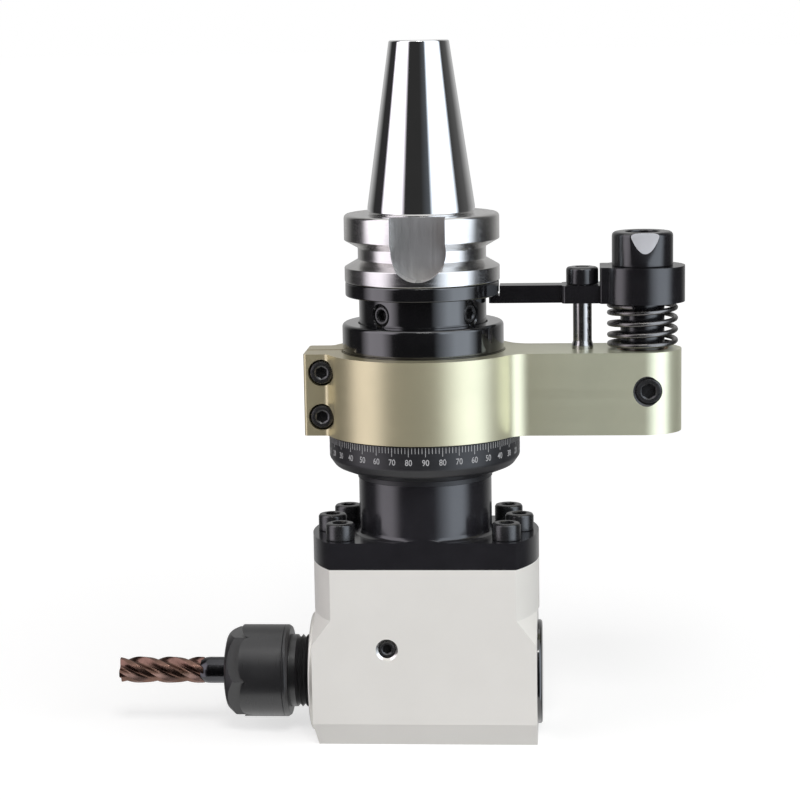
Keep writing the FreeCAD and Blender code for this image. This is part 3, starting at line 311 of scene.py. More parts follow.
def merge(name, parts):
    """Joins separate meshes into one object."""
    only(parts[0])
    for part in parts:
        part.select_set(True)
    bpy.context.view_layer.objects.active = parts[0]
    bpy.ops.object.join()
    whole = bpy.context.object
    whole.name = whole.data.name = name
    return whole


# %% [markdown]
# ## Finishes
# Steel, black oxide, anodised aluminium and paint differ in three things: how much colour the
# surface itself has, how blurred its reflections are, and what fine marks the tool left.
# One recipe covers them all. A noise that is stretched across the tool's path draws the
# turning lines, a second broad noise lets the colour and the gloss wander a little.

# %% A recipe for machined surfaces
NOISE_LOW, NOISE_HIGH = 0.3, 0.7


def fill_in(node, values):
    """Sets a node's inputs by their labels."""
    for label, value in values.items():
        node.inputs[label].default_value = value


def add_node(tree, kind, values={}):
    """A new shader node with its inputs filled in."""
    node = tree.nodes.new("ShaderNode" + kind)
    fill_in(node, values)
    return node


def wire(tree, *pairs):
    """Links each output to its input."""
    for source, target in pairs:
        tree.links.new(source, target)


def ramp_between(tree, noise, low, high):
    """A colour ramp driven by a noise."""
    ramp = add_node(tree, "ValToRGB")
    for mark, place, colour in zip(ramp.color_ramp.elements, (NOISE_LOW, NOISE_HIGH), (low, high)):
        mark.position, mark.color = place, (*colour, 1)
    wire(tree, (noise.outputs["Fac"], ramp.inputs["Fac"]))
    return ramp


def stretched_noise(tree, stretch, detail, roughness=0.55):
    """Noise in object coordinates, stretched by a Mapping node."""
    place = add_node(tree, "TexCoord")
    mapping = add_node(tree, "Mapping", {"Scale": stretch})
    noise = add_node(tree, "TexNoise", {"Scale": 1.0, "Detail": detail, "Roughness": roughness})
    wire(tree, (place.outputs["Object"], mapping.inputs["Vector"]),
         (mapping.outputs["Vector"], noise.inputs["Vector"]))
    return noise


def metalwork(name, dark, light, metal, rough, marks=(60, 60, 2500), depth=0.0, blotch=90,
              specular=0.5, coat=0.0, grain=None):
    """Base colour between two tones, gloss between two values, and fine tool marks."""
    material = bpy.data.materials.new(name)
    material.use_nodes = True
    tree = material.node_tree
    shader = tree.nodes["Principled BSDF"]
    fill_in(shader, {"Metallic": metal, "Specular IOR Level": specular, "Coat Weight": coat})
    broad = stretched_noise(tree, (blotch, blotch, blotch), 4.0)
    colour = ramp_between(tree, broad, dark, light)
    lines = stretched_noise(tree, marks, 4.0, 0.65)
    gloss = add_node(tree, "MapRange", {
        "From Min": NOISE_LOW, "From Max": NOISE_HIGH, "To Min": rough[0], "To Max": rough[1]})
    wire(tree, (colour.outputs["Color"], shader.inputs["Base Color"]),
         (lines.outputs["Fac"], gloss.inputs["Value"]), (gloss.outputs["Result"], shader.inputs["Roughness"]))
    if depth:
        bump = add_node(tree, "Bump", {"Strength": 1.0, "Distance": depth * MM})
        source = stretched_noise(tree, (grain,) * 3, 5.0) if grain else lines
        wire(tree, (source.outputs["Fac"], bump.inputs["Height"]),
             (bump.outputs["Normal"], shader.inputs["Normal"]))
    return material


# %% The finishes of this tool
GROUND = metalwork("ground_taper", (0.84, 0.84, 0.84), (0.91, 0.91, 0.91), 1, (0.03, 0.07), depth=0.0004)
TURNED = metalwork("turned_steel", (0.62, 0.61, 0.60), (0.74, 0.73, 0.71), 1, (0.14, 0.26), depth=0.0012)
MILLED = metalwork("milled_slot", (0.50, 0.49, 0.48), (0.58, 0.57, 0.555), 1, (0.42, 0.52),
                   (1500, 60, 60), depth=0.002)
BLACK = metalwork("black_steel", (0.0030, 0.0030, 0.0036), (0.0065, 0.0065, 0.0075), 0, (0.08, 0.13),
                  depth=0.0004, specular=1.0, coat=0.55)
NECK_BLACK = metalwork("black_neck", (0.0125, 0.012, 0.0145), (0.018, 0.0175, 0.021), 0, (0.16, 0.22),
                       depth=0.0006, specular=0.85)
OXIDE = metalwork("black_oxide", (0.011, 0.011, 0.012), (0.020, 0.020, 0.021), 0, (0.20, 0.34),
                  (400, 400, 400), depth=0.0006, specular=0.9, grain=900)
OXIDE_TOOL = metalwork("oxide_nut", (0.013, 0.013, 0.014), (0.022, 0.022, 0.023), 0, (0.26, 0.36),
                       (2500, 60, 60), depth=0.001, specular=0.7)
DIAL = metalwork("dial_black", (0.012, 0.012, 0.0135), (0.019, 0.019, 0.021), 0, (0.34, 0.46),
                 depth=0.002)
PLUNGER = metalwork("plunger_black", (0.0055, 0.0050, 0.0062), (0.011, 0.0105, 0.0125), 0, (0.15, 0.23),
                    depth=0.0006, specular=0.9)
PIN_FLAT = metalwork("ground_flat", (0.40, 0.40, 0.42), (0.48, 0.48, 0.50), 0.4, (0.40, 0.5),
                     (900, 60, 60), depth=0.002)
ANODISED = metalwork("anodised_arm", (0.75, 0.755, 0.59), (0.80, 0.80, 0.625), 0.66, (0.29, 0.34),
                     (8, 8, 1500), depth=0.0003)
BRIGHT_EDGE = metalwork("bright_rim", (0.72, 0.70, 0.66), (0.80, 0.78, 0.74), 1, (0.15, 0.22))
PAINT = metalwork("housing_paint", (0.74, 0.725, 0.695), (0.775, 0.76, 0.73), 0, (0.34, 0.42),
                  (300, 300, 300), depth=0.004, blotch=40, grain=1400)
NICKEL = metalwork("pale_nickel", (0.66, 0.65, 0.61), (0.74, 0.73, 0.69), 0.55, (0.36, 0.46),
                   (2500, 60, 60), depth=0.001)
CARBIDE = metalwork("coated_carbide", (0.115, 0.072, 0.055), (0.25, 0.145, 0.115), 1, (0.20, 0.32),
                    (700, 200, 200), depth=0.0006, blotch=260)
SHANK = metalwork("carbide_shank", (0.05, 0.05, 0.055), (0.08, 0.08, 0.085), 1, (0.16, 0.24),
                  (2500, 60, 60))
WIRE = metalwork("spring_wire", (0.15, 0.143, 0.14), (0.23, 0.22, 0.213), 1, (0.24, 0.34),
                 (500, 500, 500), depth=0.0005)
POST = metalwork("post_steel", (0.40, 0.39, 0.38), (0.50, 0.49, 0.475), 1, (0.14, 0.22), depth=0.0002)
BRONZE = metalwork("bronze_bush", (0.52, 0.33, 0.16), (0.62, 0.41, 0.21), 1, (0.24, 0.36))
RUBBER = metalwork("seal_rubber", (0.012, 0.012, 0.012), (0.022, 0.022, 0.022), 0, (0.55, 0.7),
                   (300, 300, 300))
BEARING = metalwork("bearing_steel", (0.66, 0.67, 0.68), (0.76, 0.77, 0.78), 1, (0.08, 0.16))
GEARS = metalwork("gear_steel", (0.46, 0.45, 0.44), (0.56, 0.55, 0.53), 1, (0.22, 0.34))
ENGRAVED = metalwork("scale_paint", (0.34, 0.34, 0.35), (0.46, 0.46, 0.47), 0, (0.45, 0.6),
                     (800, 800, 800))
print(len(bpy.data.materials), "materials")

# %% [markdown]
# ## Painted shade and light on the arm
# It's painted a darker tan round the clamp ring as shade, and a pale greenish grey along the
# arm as light. Tones that follow X multiply the base colour.

# %% Paint shade and light along the arm
tree = ANODISED.node_tree
shader = tree.nodes["Principled BSDF"]
place = add_node(tree, "TexCoord")
apart = add_node(tree, "SeparateXYZ")
RING_SIDE, ARM_SIDE = -15, 45
along = add_node(tree, "MapRange", {"From Min": RING_SIDE * MM, "From Max": ARM_SIDE * MM})
# The tan end is painted shade on the ring, the pale end is painted light along the arm.
tones = add_node(tree, "ValToRGB")
tones.color_ramp.elements[0].color = (0.74, 0.66, 0.55, 1)
tones.color_ramp.elements[1].color = (0.96, 0.965, 0.93, 1)
painted_shade = add_node(tree, "Mix")
painted_shade.data_type, painted_shade.blend_type = "RGBA", "MULTIPLY"
factor, first, second = (painted_shade.inputs[k] for k in (0, 6, 7))
factor.default_value = 1.0
wire(tree, (place.outputs["Object"], apart.inputs["Vector"]), (apart.outputs["X"], along.inputs["Value"]),
     (along.outputs["Result"], tones.inputs["Fac"]), (shader.inputs["Base Color"].links[0].from_socket, first),
     (tones.outputs["Color"], second), (painted_shade.outputs[2], shader.inputs["Base Color"]))
print("the film goes from tan to greenish grey over", ARM_SIDE - RING_SIDE, "mm")

# %% [markdown]
# ## Pieces that stay as CAD made them
# Bearings, gears, shafts and spacers sit inside the housing. Their CAD shape is right, so
# they only get their finishes, in the material slots that they already have.

# %% Dress the inner pieces
INNER = {
    "gear": GEARS, "race": BEARING, "balls": BEARING, "bush": BRONZE, "seal": RUBBER, "nut": GEARS,
    "shaft": GEARS, "spacer": GEARS, "spindle_sleeve": BLACK, "collet": POST, "retainer": GEARS,
    "tool_spindle": OXIDE_TOOL,
}
for name, node in nodes.items():
    finish = next((INNER[k] for k in INNER if k in name and name != "collet_nut"), None)
    if finish:
        for slot in node.material_slots:
            slot.material = finish

# %% [markdown]
# ## The taper shank
# The long cone is ground to a mirror finish because it centres the tool in the spindle, while
# the flange is only turned. I draw the whole profile once and spin it in many steps, since a
# mirror shows every facet. The two driving key slots are cut with a block and a round end,
# and their milled walls get a duller material.

# %% Turn the shank
FLANGE_R = 23
SLOT_HALF, SLOT_FLOOR, SLOT_OUT, SLOT_END = 8.05, 16.3, 24, 147.15
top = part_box("taper_shank")[1].z / MM
thread = []
for i in range(12):
    thread += [(5.1, 184.5 + i * 1.75), (5.75, 185.4 + i * 1.75)]
shank = turn("taper_shank_body", [
    (0, 183.9), (5.1, 183.9), *thread, (5.1, 206.6), (6.3, top, 0.2), (8.817, top, 0.55),
    (15.875, 159.5), (15.875, 158.2), (15.4, 157.5), (FLANGE_R, 157.5, 1.1), (FLANGE_R, 149.9, 0.35),
    (19, 147.6, 0.3), (19, 144.2, 0.3), (FLANGE_R, 141.9, 0.35), (FLANGE_R, 137.5, 0.4), (15, 137.5),
    (15, 122), (9, 122), (9, 140), (0, 140)], steps=192)
for side in (-1, 1):
    near, far = sorted((SLOT_FLOOR * side, SLOT_OUT * side))
    slot = block("slot", (-SLOT_HALF, near, SLOT_END), (SLOT_HALF, far, 159))
    end = turn("slot_end", [(0, SLOT_FLOOR), (SLOT_HALF, SLOT_FLOOR), (SLOT_HALF, SLOT_OUT), (0, SLOT_OUT)],
               way="front", z=SLOT_END, steps=64)
    if side > 0:
        end.data.transform(Matrix.Scale(-1, 4, (0, 1, 0)))
        end.data.flip_normals()
    combine(slot, end, "UNION")
    combine(shank, slot)

# %% Finish the shank
for finish in (GROUND, TURNED, MILLED):
    shank.data.materials.append(finish)
for face in shank.data.polygons:
    middle, normal = face.center / MM, face.normal
    in_slot = abs(middle.x) < SLOT_HALF + 0.01 and abs(middle.y) > SLOT_FLOOR - 0.1 and 139 < middle.z < 157.6
    on_floor = abs(normal.y) > 0.999
    on_side = abs(normal.x * middle.y - normal.y * middle.x) > 2 and abs(normal.z) < 0.999
    on_taper = middle.z > 157.6 and normal.z < 0.9
    on_rim = abs(math.hypot(middle.x, middle.y) - FLANGE_R) < 0.06 and abs(
        normal.x * middle.x + normal.y * middle.y) > FLANGE_R - 0.5
    milled = in_slot and (on_floor or on_side)
    face.material_index = (1 if on_rim else 2) if milled else 0 if on_taper else 1
hand_over(shank, "input_drive", GROUND, "taper_shank")

# %% [markdown]
# ## Collar, pinch screws and bearing cover
# The black collar sits under the shank flange. It carries the notch that the lever drops
# into, and four set screws that pinch it to the stub.

# %% Turn the collar
collar = turn("lock_collar_body", [
    (15, 122), (18.9, 122), (18.9, 133.3, 0.3), (22.9, 133.3, 0.5), (22.9, 137.45, 0.5), (15, 137.45)],
    steps=160, ring=True)
combine(collar, block("notch", (19.4, -3.8, 132), (24, 3.8, 138)))
PINCH_Z = 128.7
pinch_turns = [52.5 + 90 * k for k in range(4)]


def outwards(angle, reach, level):
    """Places a piece that was made along Z so that it points out of the collar."""
    a = math.radians(angle)
    return (Matrix.Translation(Vector((math.cos(a) * reach, math.sin(a) * reach, level)) * MM)
            @ Matrix.Rotation(a, 4, "Z") @ Matrix.Rotation(math.pi / 2, 4, "Y"))


hole = turn("pinch_hole", [(0, -4), (3.0, -4), (3.0, 3.1), (4.4, 4.6), (0, 4.6)], steps=48)
for angle in pinch_turns:
    combine(collar, copy_of(hole, "hole", outwards(angle, 15.2, PINCH_Z)))
bpy.data.objects.remove(hole)
hand_over(collar, "input_drive", BLACK, "lock_collar")


# %% [markdown]
# ## Screws
# Every screw here has a hexagon socket. A cap screw is a turned head with soft rims, a set
# screw is a turned stud with a chamfered end, and both get the same six sided hole.

# %% One set screw and one cap screw
def socket(name, across, depth, top_level):
    """A six sided cutter that stands half a millimetre proud of the top level."""
    only()
    radius = across / math.sqrt(3)
    bpy.ops.mesh.primitive_cylinder_add(vertices=6, radius=radius * MM, depth=(depth + 0.5) * MM,
                                        location=(0, 0, (top_level - depth / 2 + 0.25) * MM))
    cutter = bpy.context.object
    cutter.name = name
    return bake_place(cutter)


def set_screw(name, diameter, length, across):
    """A set screw with its face at z = 0, pointing up."""
    r = diameter / 2
    screw = turn(name, [(0, -length), (r - 0.5, -length), (r, -length + 0.5), (r, -0.55), (r - 0.55, 0, 0.12),
                        (across / 2 + 0.45, 0), (across / 2 - 0.1, -0.5), (0, -0.5)], steps=48)
    combine(screw, socket("hex", across, 2.2, 0))
    return screw


def cap_screw(name, head_d, head_h, across):
    """The head of a cap screw, standing on z = 0."""
    r = head_d / 2
    screw = turn(name, [(0, 0), (r - 0.2, 0), (r, 0.2), (r, head_h - 0.75), (r - 0.35, head_h - 0.15, 0.3),
                        (r - 1.0, head_h, 0.2), (across / 2 + 0.5, head_h), (across / 2, head_h - 0.35),
                        (0, head_h - 0.35)], steps=72)
    combine(screw, socket("hex", across, head_h * 0.6, head_h))
    return screw


stud = set_screw("stud", 6.0, 3.4, 3.0)
hand_over_copies(stud, "input_drive", OXIDE, "pinch_screws",
                 [outwards(angle, 18.4, PINCH_Z) for angle in pinch_turns])

# %% Turn the bearing cover
cover = turn("bearing_cover_body", [
    (14, COVER_LOW), (24, COVER_LOW, 0.25), (24, 125.3, 1.1), (19.2, 125.3, 0.4), (19.2, 121.7), (9.3, 121.7),
    (9.3, COVER_LOW + 2), (14, COVER_LOW + 2)], steps=160, ring=True)
hand_over(cover, "housing", BLACK, "bearing_cover")

# %% [markdown]
# ## The clamp arm
# The arm is milled from aluminium plate and anodised in a pale gold. Its outline is drawn as
# the real one is: a ring, a straight arm with a round end, a split lug, and fillets where
# they meet, which is where the bright stripe in its reflections comes from.

# %% Draw the outline of the arm
RING, HALF, LUG, LUG_END, CLAMP_X = 29.5, 11.5, 10.0, -34, -29.7
ARM_FILLET, LUG_FILLET, LUG_CORNER = 8.0, 2.0, 1.0
ARM_SCREW_X, ARM_SCREW_Z = 66.5, ARM_TOP - 11.4


def fillet_centre(half, radius, side):
    """Where a fillet sits between the ring and a straight flank."""
    y = half + radius
    return side * math.sqrt((RING + radius) ** 2 - y ** 2), y


ax, ay = fillet_centre(HALF, ARM_FILLET, 1)
lx, ly = fillet_centre(LUG, LUG_FILLET, -1)
arm_lean = math.degrees(math.atan2(ay, ax))
lug_lean = math.degrees(math.atan2(ly, -lx))
front = arc((0, 0), RING, -180 + lug_lean, -arm_lean, 56)
front += arc((ax, -ay), ARM_FILLET, 180 - arm_lean, 90, 14)[1:]
outline = front + arc((PIN_X, 0), HALF, -90, 90, 40)
outline += [(a, -b) for a, b in reversed(front)]
outline += arc((lx, ly), LUG_FILLET, -lug_lean, -90, 6)[1:]
outline += arc((LUG_END, LUG - LUG_CORNER), LUG_CORNER, 90, 180, 4)
outline += arc((LUG_END, LUG_CORNER - LUG), LUG_CORNER, 180, 270, 4)
outline += arc((lx, -ly), LUG_FILLET, 90, lug_lean, 6)[:-1]
arm = extrude("clamp_arm_body", outline, ARM_LOW, ARM_TOP, rim=0.45, steps=3)
print("arm outline of", len(outline), "points")

# %% Bore the arm and split the lug
combine(arm, turn("bore", [(0, ARM_LOW - 1), (25.4, ARM_LOW - 1), (24.05, ARM_LOW + 0.5), (24.05, ARM_TOP - 0.5),
                           (25.4, ARM_TOP + 1), (0, ARM_TOP + 1)], steps=160))
combine(arm, block("slit", (-36, -0.6, ARM_LOW - 1), (-23, 0.6, ARM_TOP + 1)))
combine(arm, turn("stem_bore", [(0, ARM_TOP - 22), (7.55, ARM_TOP - 22), (7.55, ARM_TOP + 1), (0, ARM_TOP + 1)],
                  x=PIN_X, steps=64))
combine(arm, turn("post_hole", [(0, ARM_TOP - 12), (2, ARM_TOP - 12), (2, ARM_TOP + 1), (0, ARM_TOP + 1)],
                  x=POST_X, steps=32))
clamp_levels = (ARM_LOW + 5.6, ARM_LOW + 18.8)
for level in clamp_levels:
    combine(arm, turn("counterbore", [(0, 5.6), (3.95, 5.6), (3.95, 16), (0, 16)], way="front",
                      x=CLAMP_X, z=level, steps=64))
    combine(arm, turn("clamp_hole", [(0, -8.4), (2, -8.4), (2, 6), (0, 6)], way="front",
                      x=CLAMP_X, z=level, steps=32))
combine(arm, turn("plug_bore", [(0, 0), (4, 0), (4, 10.95), (4.9, 11.85), (0, 11.85)], way="front",
                  x=ARM_SCREW_X, z=ARM_SCREW_Z, steps=64))

# %% Paint shade into the sink round the screw in the arm's face
PAINTED_SHADE_REACH = 4.95
arm.data.materials.append(ANODISED)
arm.data.materials.append(OXIDE)
# The sink's faces take the black oxide finish as painted shade, where the recess lies in shadow.
for face in arm.data.polygons:
    corners = [arm.data.vertices[k].co / MM for k in face.vertices]
    if all(math.hypot(c.x - ARM_SCREW_X, c.z - ARM_SCREW_Z) < PAINTED_SHADE_REACH for c in corners):
        face.material_index = 1
hand_over(arm, "torque_arm", ANODISED, "clamp_arm")

# %% Clamp screws and the screw in the arm
to_front = Matrix.Rotation(math.pi / 2, 4, "X")
cap = cap_screw("cap", 7.2, 4.0, 3.2)
hand_over_copies(cap, "torque_arm", OXIDE, "clamp_screws",
                 [moved(CLAMP_X, -5.6, level) @ to_front for level in clamp_levels])
plug = set_screw("plug", 8.0, 3.2, 4.0)
hand_over(copy_of(plug, "arm_screw_body", moved(ARM_SCREW_X, -11.0, ARM_SCREW_Z) @ to_front),
          "torque_arm", OXIDE, "arm_screw")
bpy.data.objects.remove(plug)

# %% [markdown]
# ## Stop pin, lever, post and spring
# The stop pin goes into the machine's stop block. When it is pushed down, the lever leaves
# the collar's notch and the spindle may turn. The spring brings it back, and the polished
# post keeps the lever from swinging.

# %% Turn the stop pin
HUB_LOW, HUB_TOP = 130.8, 141.4
pin = turn("stop_pin_body", [
    (0, 100.5), (6.0, 100.5), (6.5, 101), (6.5, HUB_TOP), (9, HUB_TOP, 0.3), (9, 151.4, 1.2), (5.0, 151.4, 0.5),
    (5.0, 143.9), (0, 143.9)], x=PIN_X, steps=96)
flat = block("flat", (-18, -18, -12), (18, 0, 20))
lean = math.atan2(1.25, 6.0)
facing = Matrix.Rotation(math.radians(4), 4, "Z")
flat.matrix_world = (moved(PIN_X, 0, 145.4) @ facing @ Matrix.Translation((0, -9 * MM, 0))
                     @ Matrix.Rotation(-lean, 4, "X"))
bake_place(flat)
facing = facing @ Vector((0, -math.cos(lean), math.sin(lean)))
combine(pin, flat)
pin.data.materials.append(PLUNGER)
pin.data.materials.append(PIN_FLAT)
for face in pin.data.polygons:
    if face.normal.dot(facing) > 0.9998 and face.center.z > 0.145:
        face.material_index = 1
hand_over(pin, "lock_plunger", PLUNGER, "stop_pin")

# %% Build the lever
bar_top = LEVER_LOW + 5.2
bar = extrude("lock_lever_body", soften([(19.8, -3.5, 1.0), (60, -3.5), (60, 3.5), (19.8, 3.5, 1.0)]),
              LEVER_LOW, bar_top)
combine(bar, extrude("post_eye", soften([(41.3, -6, 1.4), (56, -6), (56, 6), (41.3, 6, 1.4)]),
                     LEVER_LOW, bar_top), "UNION")
combine(bar, extrude("shoulder", soften([(52.5, -7.5, 0.6), (65, -7.5), (65, 7.5), (52.5, 7.5, 0.6)]),
                     HUB_LOW, HUB_TOP), "UNION")
combine(bar, turn("hub", [(0, HUB_LOW), (12.5, HUB_LOW), (12.5, HUB_TOP), (0, HUB_TOP)],
                  x=PIN_X, steps=96), "UNION")
combine(bar, turn("hub_bore", [(0, 130), (6.5, 130), (6.5, 142), (0, 142)], x=PIN_X, steps=64))
combine(bar, turn("post_bore", [(0, 130), (2.85, 130), (2.85, 137), (0, 137)], x=POST_X, steps=48))
combine(bar, block("lip", (18, -8, 133.0), (22.98, 8, 138)))
round_edges(bar, 0.4, 3, 40)
hand_over(bar, "lock_plunger", PLUNGER, "lock_lever")

# %% Turn the guide post and its screw
post = turn("guide_post_body", [
    (0, ARM_TOP - 12), (2, ARM_TOP - 12), (2, ARM_TOP), (3.2, ARM_TOP), (3.2, ARM_TOP + 1.1, 0.4),
    (2.8, ARM_TOP + 2.4, 0.5), (2.8, 136.1), (1.5, 136.1), (1.5, 126.1), (0, 126.1)], x=POST_X, steps=64)
hand_over(post, "torque_arm", POST, "guide_post")
knob = turn("guide_screw_body", [
    (0, 127.0), (1.5, 127.0), (1.5, 136.1), (4.75, 136.1, 0.3), (4.75, 141.1, 0.9), (2.2, 141.1), (1.7, 140.6),
    (0, 140.6)], x=POST_X, steps=72)
combine(knob, copy_of(socket("hex", 3.0, 2.6, 141.1), "hex_here", Matrix.Translation((POST_X * MM, 0, 0))))
bpy.data.objects.remove(bpy.data.objects["hex"])
hand_over(knob, "torque_arm", PLUNGER, "guide_screw")

# %% [markdown]
# ## The spring
# A compression spring has closed ends: the first and the last turn lie nearly flat, and only
# the turns between them have the full pitch. A wire section is extruded in small steps, and
# each step turns it round the pin and lifts it by the pitch that belongs to that turn.

# %% Wind the spring
WIRE_D, MEAN, TURNS, TURN_STEPS = 1.5, 9.75, 4.62, 30
wire_low, wire_high = ARM_TOP + 0.81, LEVER_LOW - 0.81


def height_at(turns_done):
    """Height of the wire's centre: flat end turns, full pitch between them."""
    end, closed = 0.8, 1.2
    live = (wire_high - wire_low - 2 * closed) / (TURNS - 2 * end)
    if turns_done < end:
        return closed * turns_done / end
    if turns_done > TURNS - end:
        return (wire_high - wire_low) - closed * (TURNS - turns_done) / end
    return closed + live * (turns_done - end)


only()
bpy.ops.mesh.primitive_circle_add(vertices=14, radius=WIRE_D / 2 * MM, fill_type="NGON",
                                  location=((PIN_X + MEAN) * MM, 0, wire_low * MM), rotation=(math.pi / 2, 0, 0))
spring = bake_place(bpy.context.object)
spring.name = spring.data.name = "pin_spring_wire"
start = math.radians(-108 - 360 * (TURNS % 1))
spring.data.transform(Matrix.Translation((PIN_X * MM, 0, 0)) @ Matrix.Rotation(start, 4, "Z")
                      @ Matrix.Translation((-PIN_X * MM, 0, 0)))
only(spring)
edit_all()
count = int(TURNS * TURN_STEPS)
for k in range(count):
    rise = height_at((k + 1) * TURNS / count) - height_at(k * TURNS / count)
    bpy.ops.mesh.extrude_region_move(TRANSFORM_OT_translate={"value": (0, 0, rise * MM)})
    bpy.ops.transform.rotate(value=-2 * math.pi * TURNS / count, orient_axis="Z",
                             center_override=(PIN_X * MM, 0, 0))
face_out()
bpy.ops.object.mode_set(mode="OBJECT")
hand_over(spring, "torque_arm", WIRE, "pin_spring", angle=50)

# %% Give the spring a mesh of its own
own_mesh(spring)

# %% [markdown]
# ## The index dial
# The dial shows by how many degrees the housing is turned against the arm. It is a turned
# ring with a cone below its band and a narrow collar down to the neck. Its marks are cut
# and filled with pale paint, so they are thin pads that sit a few hundredths of a
# millimetre proud of the band.

# %% Turn the dial
NECK_TOP = 78.9
DIAL_R, DIAL_TURN = 28.5, 4
dial = turn("index_dial_body", [
    (19.95, NECK_TOP), (20.15, NECK_TOP), (20.15, 80.3), (20.6, 80.3, 0.2), (26.7, 82.75, 2.5),
    (DIAL_R, 85.3, 1.6), (DIAL_R, 92.2, 0.3), (19.95, 92.2)], steps=160, ring=True)
hand_over(dial, "housing", DIAL, "index_dial")


# %% Cut the degree marks
def on_dial(angle, reach, level):
    """A point of the dial's band. Angle 0 is the middle of the scale, right is positive."""
    a = math.radians(-90 + DIAL_TURN + angle)
    return Vector((reach * math.cos(a), reach * math.sin(a), level)) * MM


def dial_mark(low):
    """One flat pad on the band at the middle of the scale, facing out."""
    only()
    bpy.ops.mesh.primitive_cube_add(size=MM, location=(DIAL_R * MM, 0, (low + MARK_TOP) / 2 * MM))
    pad = bpy.context.object
    pad.name = "mark"
    pad.scale = (MARK_RISE, MARK_WIDTH, MARK_TOP - low)
    return bake_place(pad)


MARK_RISE, MARK_WIDTH, MARK_TOP = 0.07, 0.17, 91.95
marks = []
for step in range(-90, 91, 2):
    pad = dial_mark(89.3 if step % 10 == 0 else 90.2)
    pad.rotation_euler.z = math.radians(-90 + DIAL_TURN + step)
    marks.append(bake_place(pad))
scale = merge("dial_marks", marks)
hand_over(scale, "housing", ENGRAVED)

# %% Write the numbers
FIGURE_LOW, NARROW = 86.75, 0.86
numbers = []
for step in range(-90, 91, 10):
    only()
    bpy.ops.object.text_add()
    digits = bpy.context.object
    digits.data.body = str(90 - abs(step))
    digits.data.align_x, digits.data.size, digits.data.extrude = "CENTER", 2.5 * MM, 0.03 * MM
    digits.data.offset = 0.02 * MM
    bpy.ops.object.convert(target="MESH")
    digits = bpy.context.object
    only(digits)
    edit_all()
    bpy.ops.mesh.remove_doubles(threshold=0.0005 * MM)
    bpy.ops.object.mode_set(mode="OBJECT")
    for vert in digits.data.vertices:
        angle = math.degrees(vert.co.x / (DIAL_R * MM)) * NARROW
        vert.co = on_dial(step + angle, DIAL_R + vert.co.z / MM, FIGURE_LOW + vert.co.y / MM)
    numbers.append(digits)
figures = merge("dial_numbers", numbers)
hand_over(figures, "housing", ENGRAVED)

# %% [markdown]
# ## Neck and plate
# Neck and plate are one black turned piece with two flats, bolted on the gear housing. The
# fillet at the neck's foot shows as two bright slivers, so it is drawn into the profile.

# %% Turn the neck, mill the plate
PLATE_R, PLATE_HALF, PLATE_LOW, PLATE_TOP, BOLT_REACH = 34, 20, 54.0, 62.0, 28.2
plate_arc = math.degrees(math.asin(PLATE_HALF / PLATE_R))
plan = arc((0, 0), PLATE_R, -plate_arc, plate_arc, 24)
plan += arc((0, 0), PLATE_R, 180 - plate_arc, 180 + plate_arc, 24)
neck = extrude("neck_plate", plan, PLATE_LOW, PLATE_TOP, rim=0.3)
tube = turn("tube", [(8, 60), (21.5, 60), (21.5, 62.05), (20.6, 62.35), (20.1, 62.9), (19.9, 63.7),
                     (19.9, NECK_TOP, 0.2), (8, NECK_TOP)], steps=160, ring=True)
combine(tube, block("flats", (-40, -20, 50), (40, 20, 90)), "INTERSECT")
combine(neck, tube, "UNION")
combine(neck, turn("tunnel", [(0, 50), (11, 50), (11, 62), (16, 62), (16, 71), (11, 71), (11, 90), (0, 90)],
                   steps=96))
plate_angles = (0, 29.25, -29.25, 180, 209.25, 150.75)
plate_spots = [(BOLT_REACH * math.cos(math.radians(a)), BOLT_REACH * math.sin(math.radians(a)))
               for a in plate_angles]
for px, py in plate_spots:
    cutter = turn("plate_hole", [(0, 53), (2.5, 53), (2.5, 63), (0, 63)], steps=32)
    cutter.data.transform(Matrix.Translation((px * MM, py * MM, 0)))
    combine(neck, cutter)
hand_over(neck, "housing", NECK_BLACK, "neck_housing")

# %% Plate screws
cap = cap_screw("cap", 8.5, 5.0, 4.0)
spins = [Matrix.Rotation(math.radians(17 * k + 8), 4, "Z") for k in range(len(plate_spots))]
hand_over_copies(cap, "housing", OXIDE, "plate_screws",
                 [moved(px, py, PLATE_TOP) @ spin for (px, py), spin in zip(plate_spots, spins)])

# %% [markdown]
# ## The gear housing
# A steel block, turned above and square below, with a cone that trims the square corners into
# slanting facets and a bevel round its foot. It is painted in a pale grey, and the paint
# softens each edge.

# %% Mill the housing
SIDE, FRONT = 33.4, 20.0
GREASE_X, GREASE_Z = -10.9, 29.7
case = block("gear_housing_body", (-36, -FRONT, 0), (36, FRONT, PLATE_LOW))
combine(case, turn("corner_cone", [(0, -1), (60, -1), (60, 30.9), (38.9, 30.9), (34.0, 38.5), (34.0, 55), (0, 55)],
                   steps=192), "INTERSECT")
for side in (-1, 1):
    combine(case, block("side_flat", (SIDE if side > 0 else -40, -30, -1), (40 if side > 0 else -SIDE, 30, 38.5)))
for side in (-1, 1):
    wedge = draw("foot", [(-40 * MM, side * a * MM, b * MM) for a, b in ((20, 7), (17, 0), (22, -1), (22, 7))])
    pull((80, 0, 0))
    combine(case, wedge)
wedge = draw("foot_end", [(a * MM, -25 * MM, b * MM) for a, b in ((-SIDE, 7), (-31.9, 0), (-36, -1), (-36, 7))])
pull((0, 50, 0))
combine(case, wedge)
tidy_planes(case)
round_edges(case, 0.45, 3, 12)

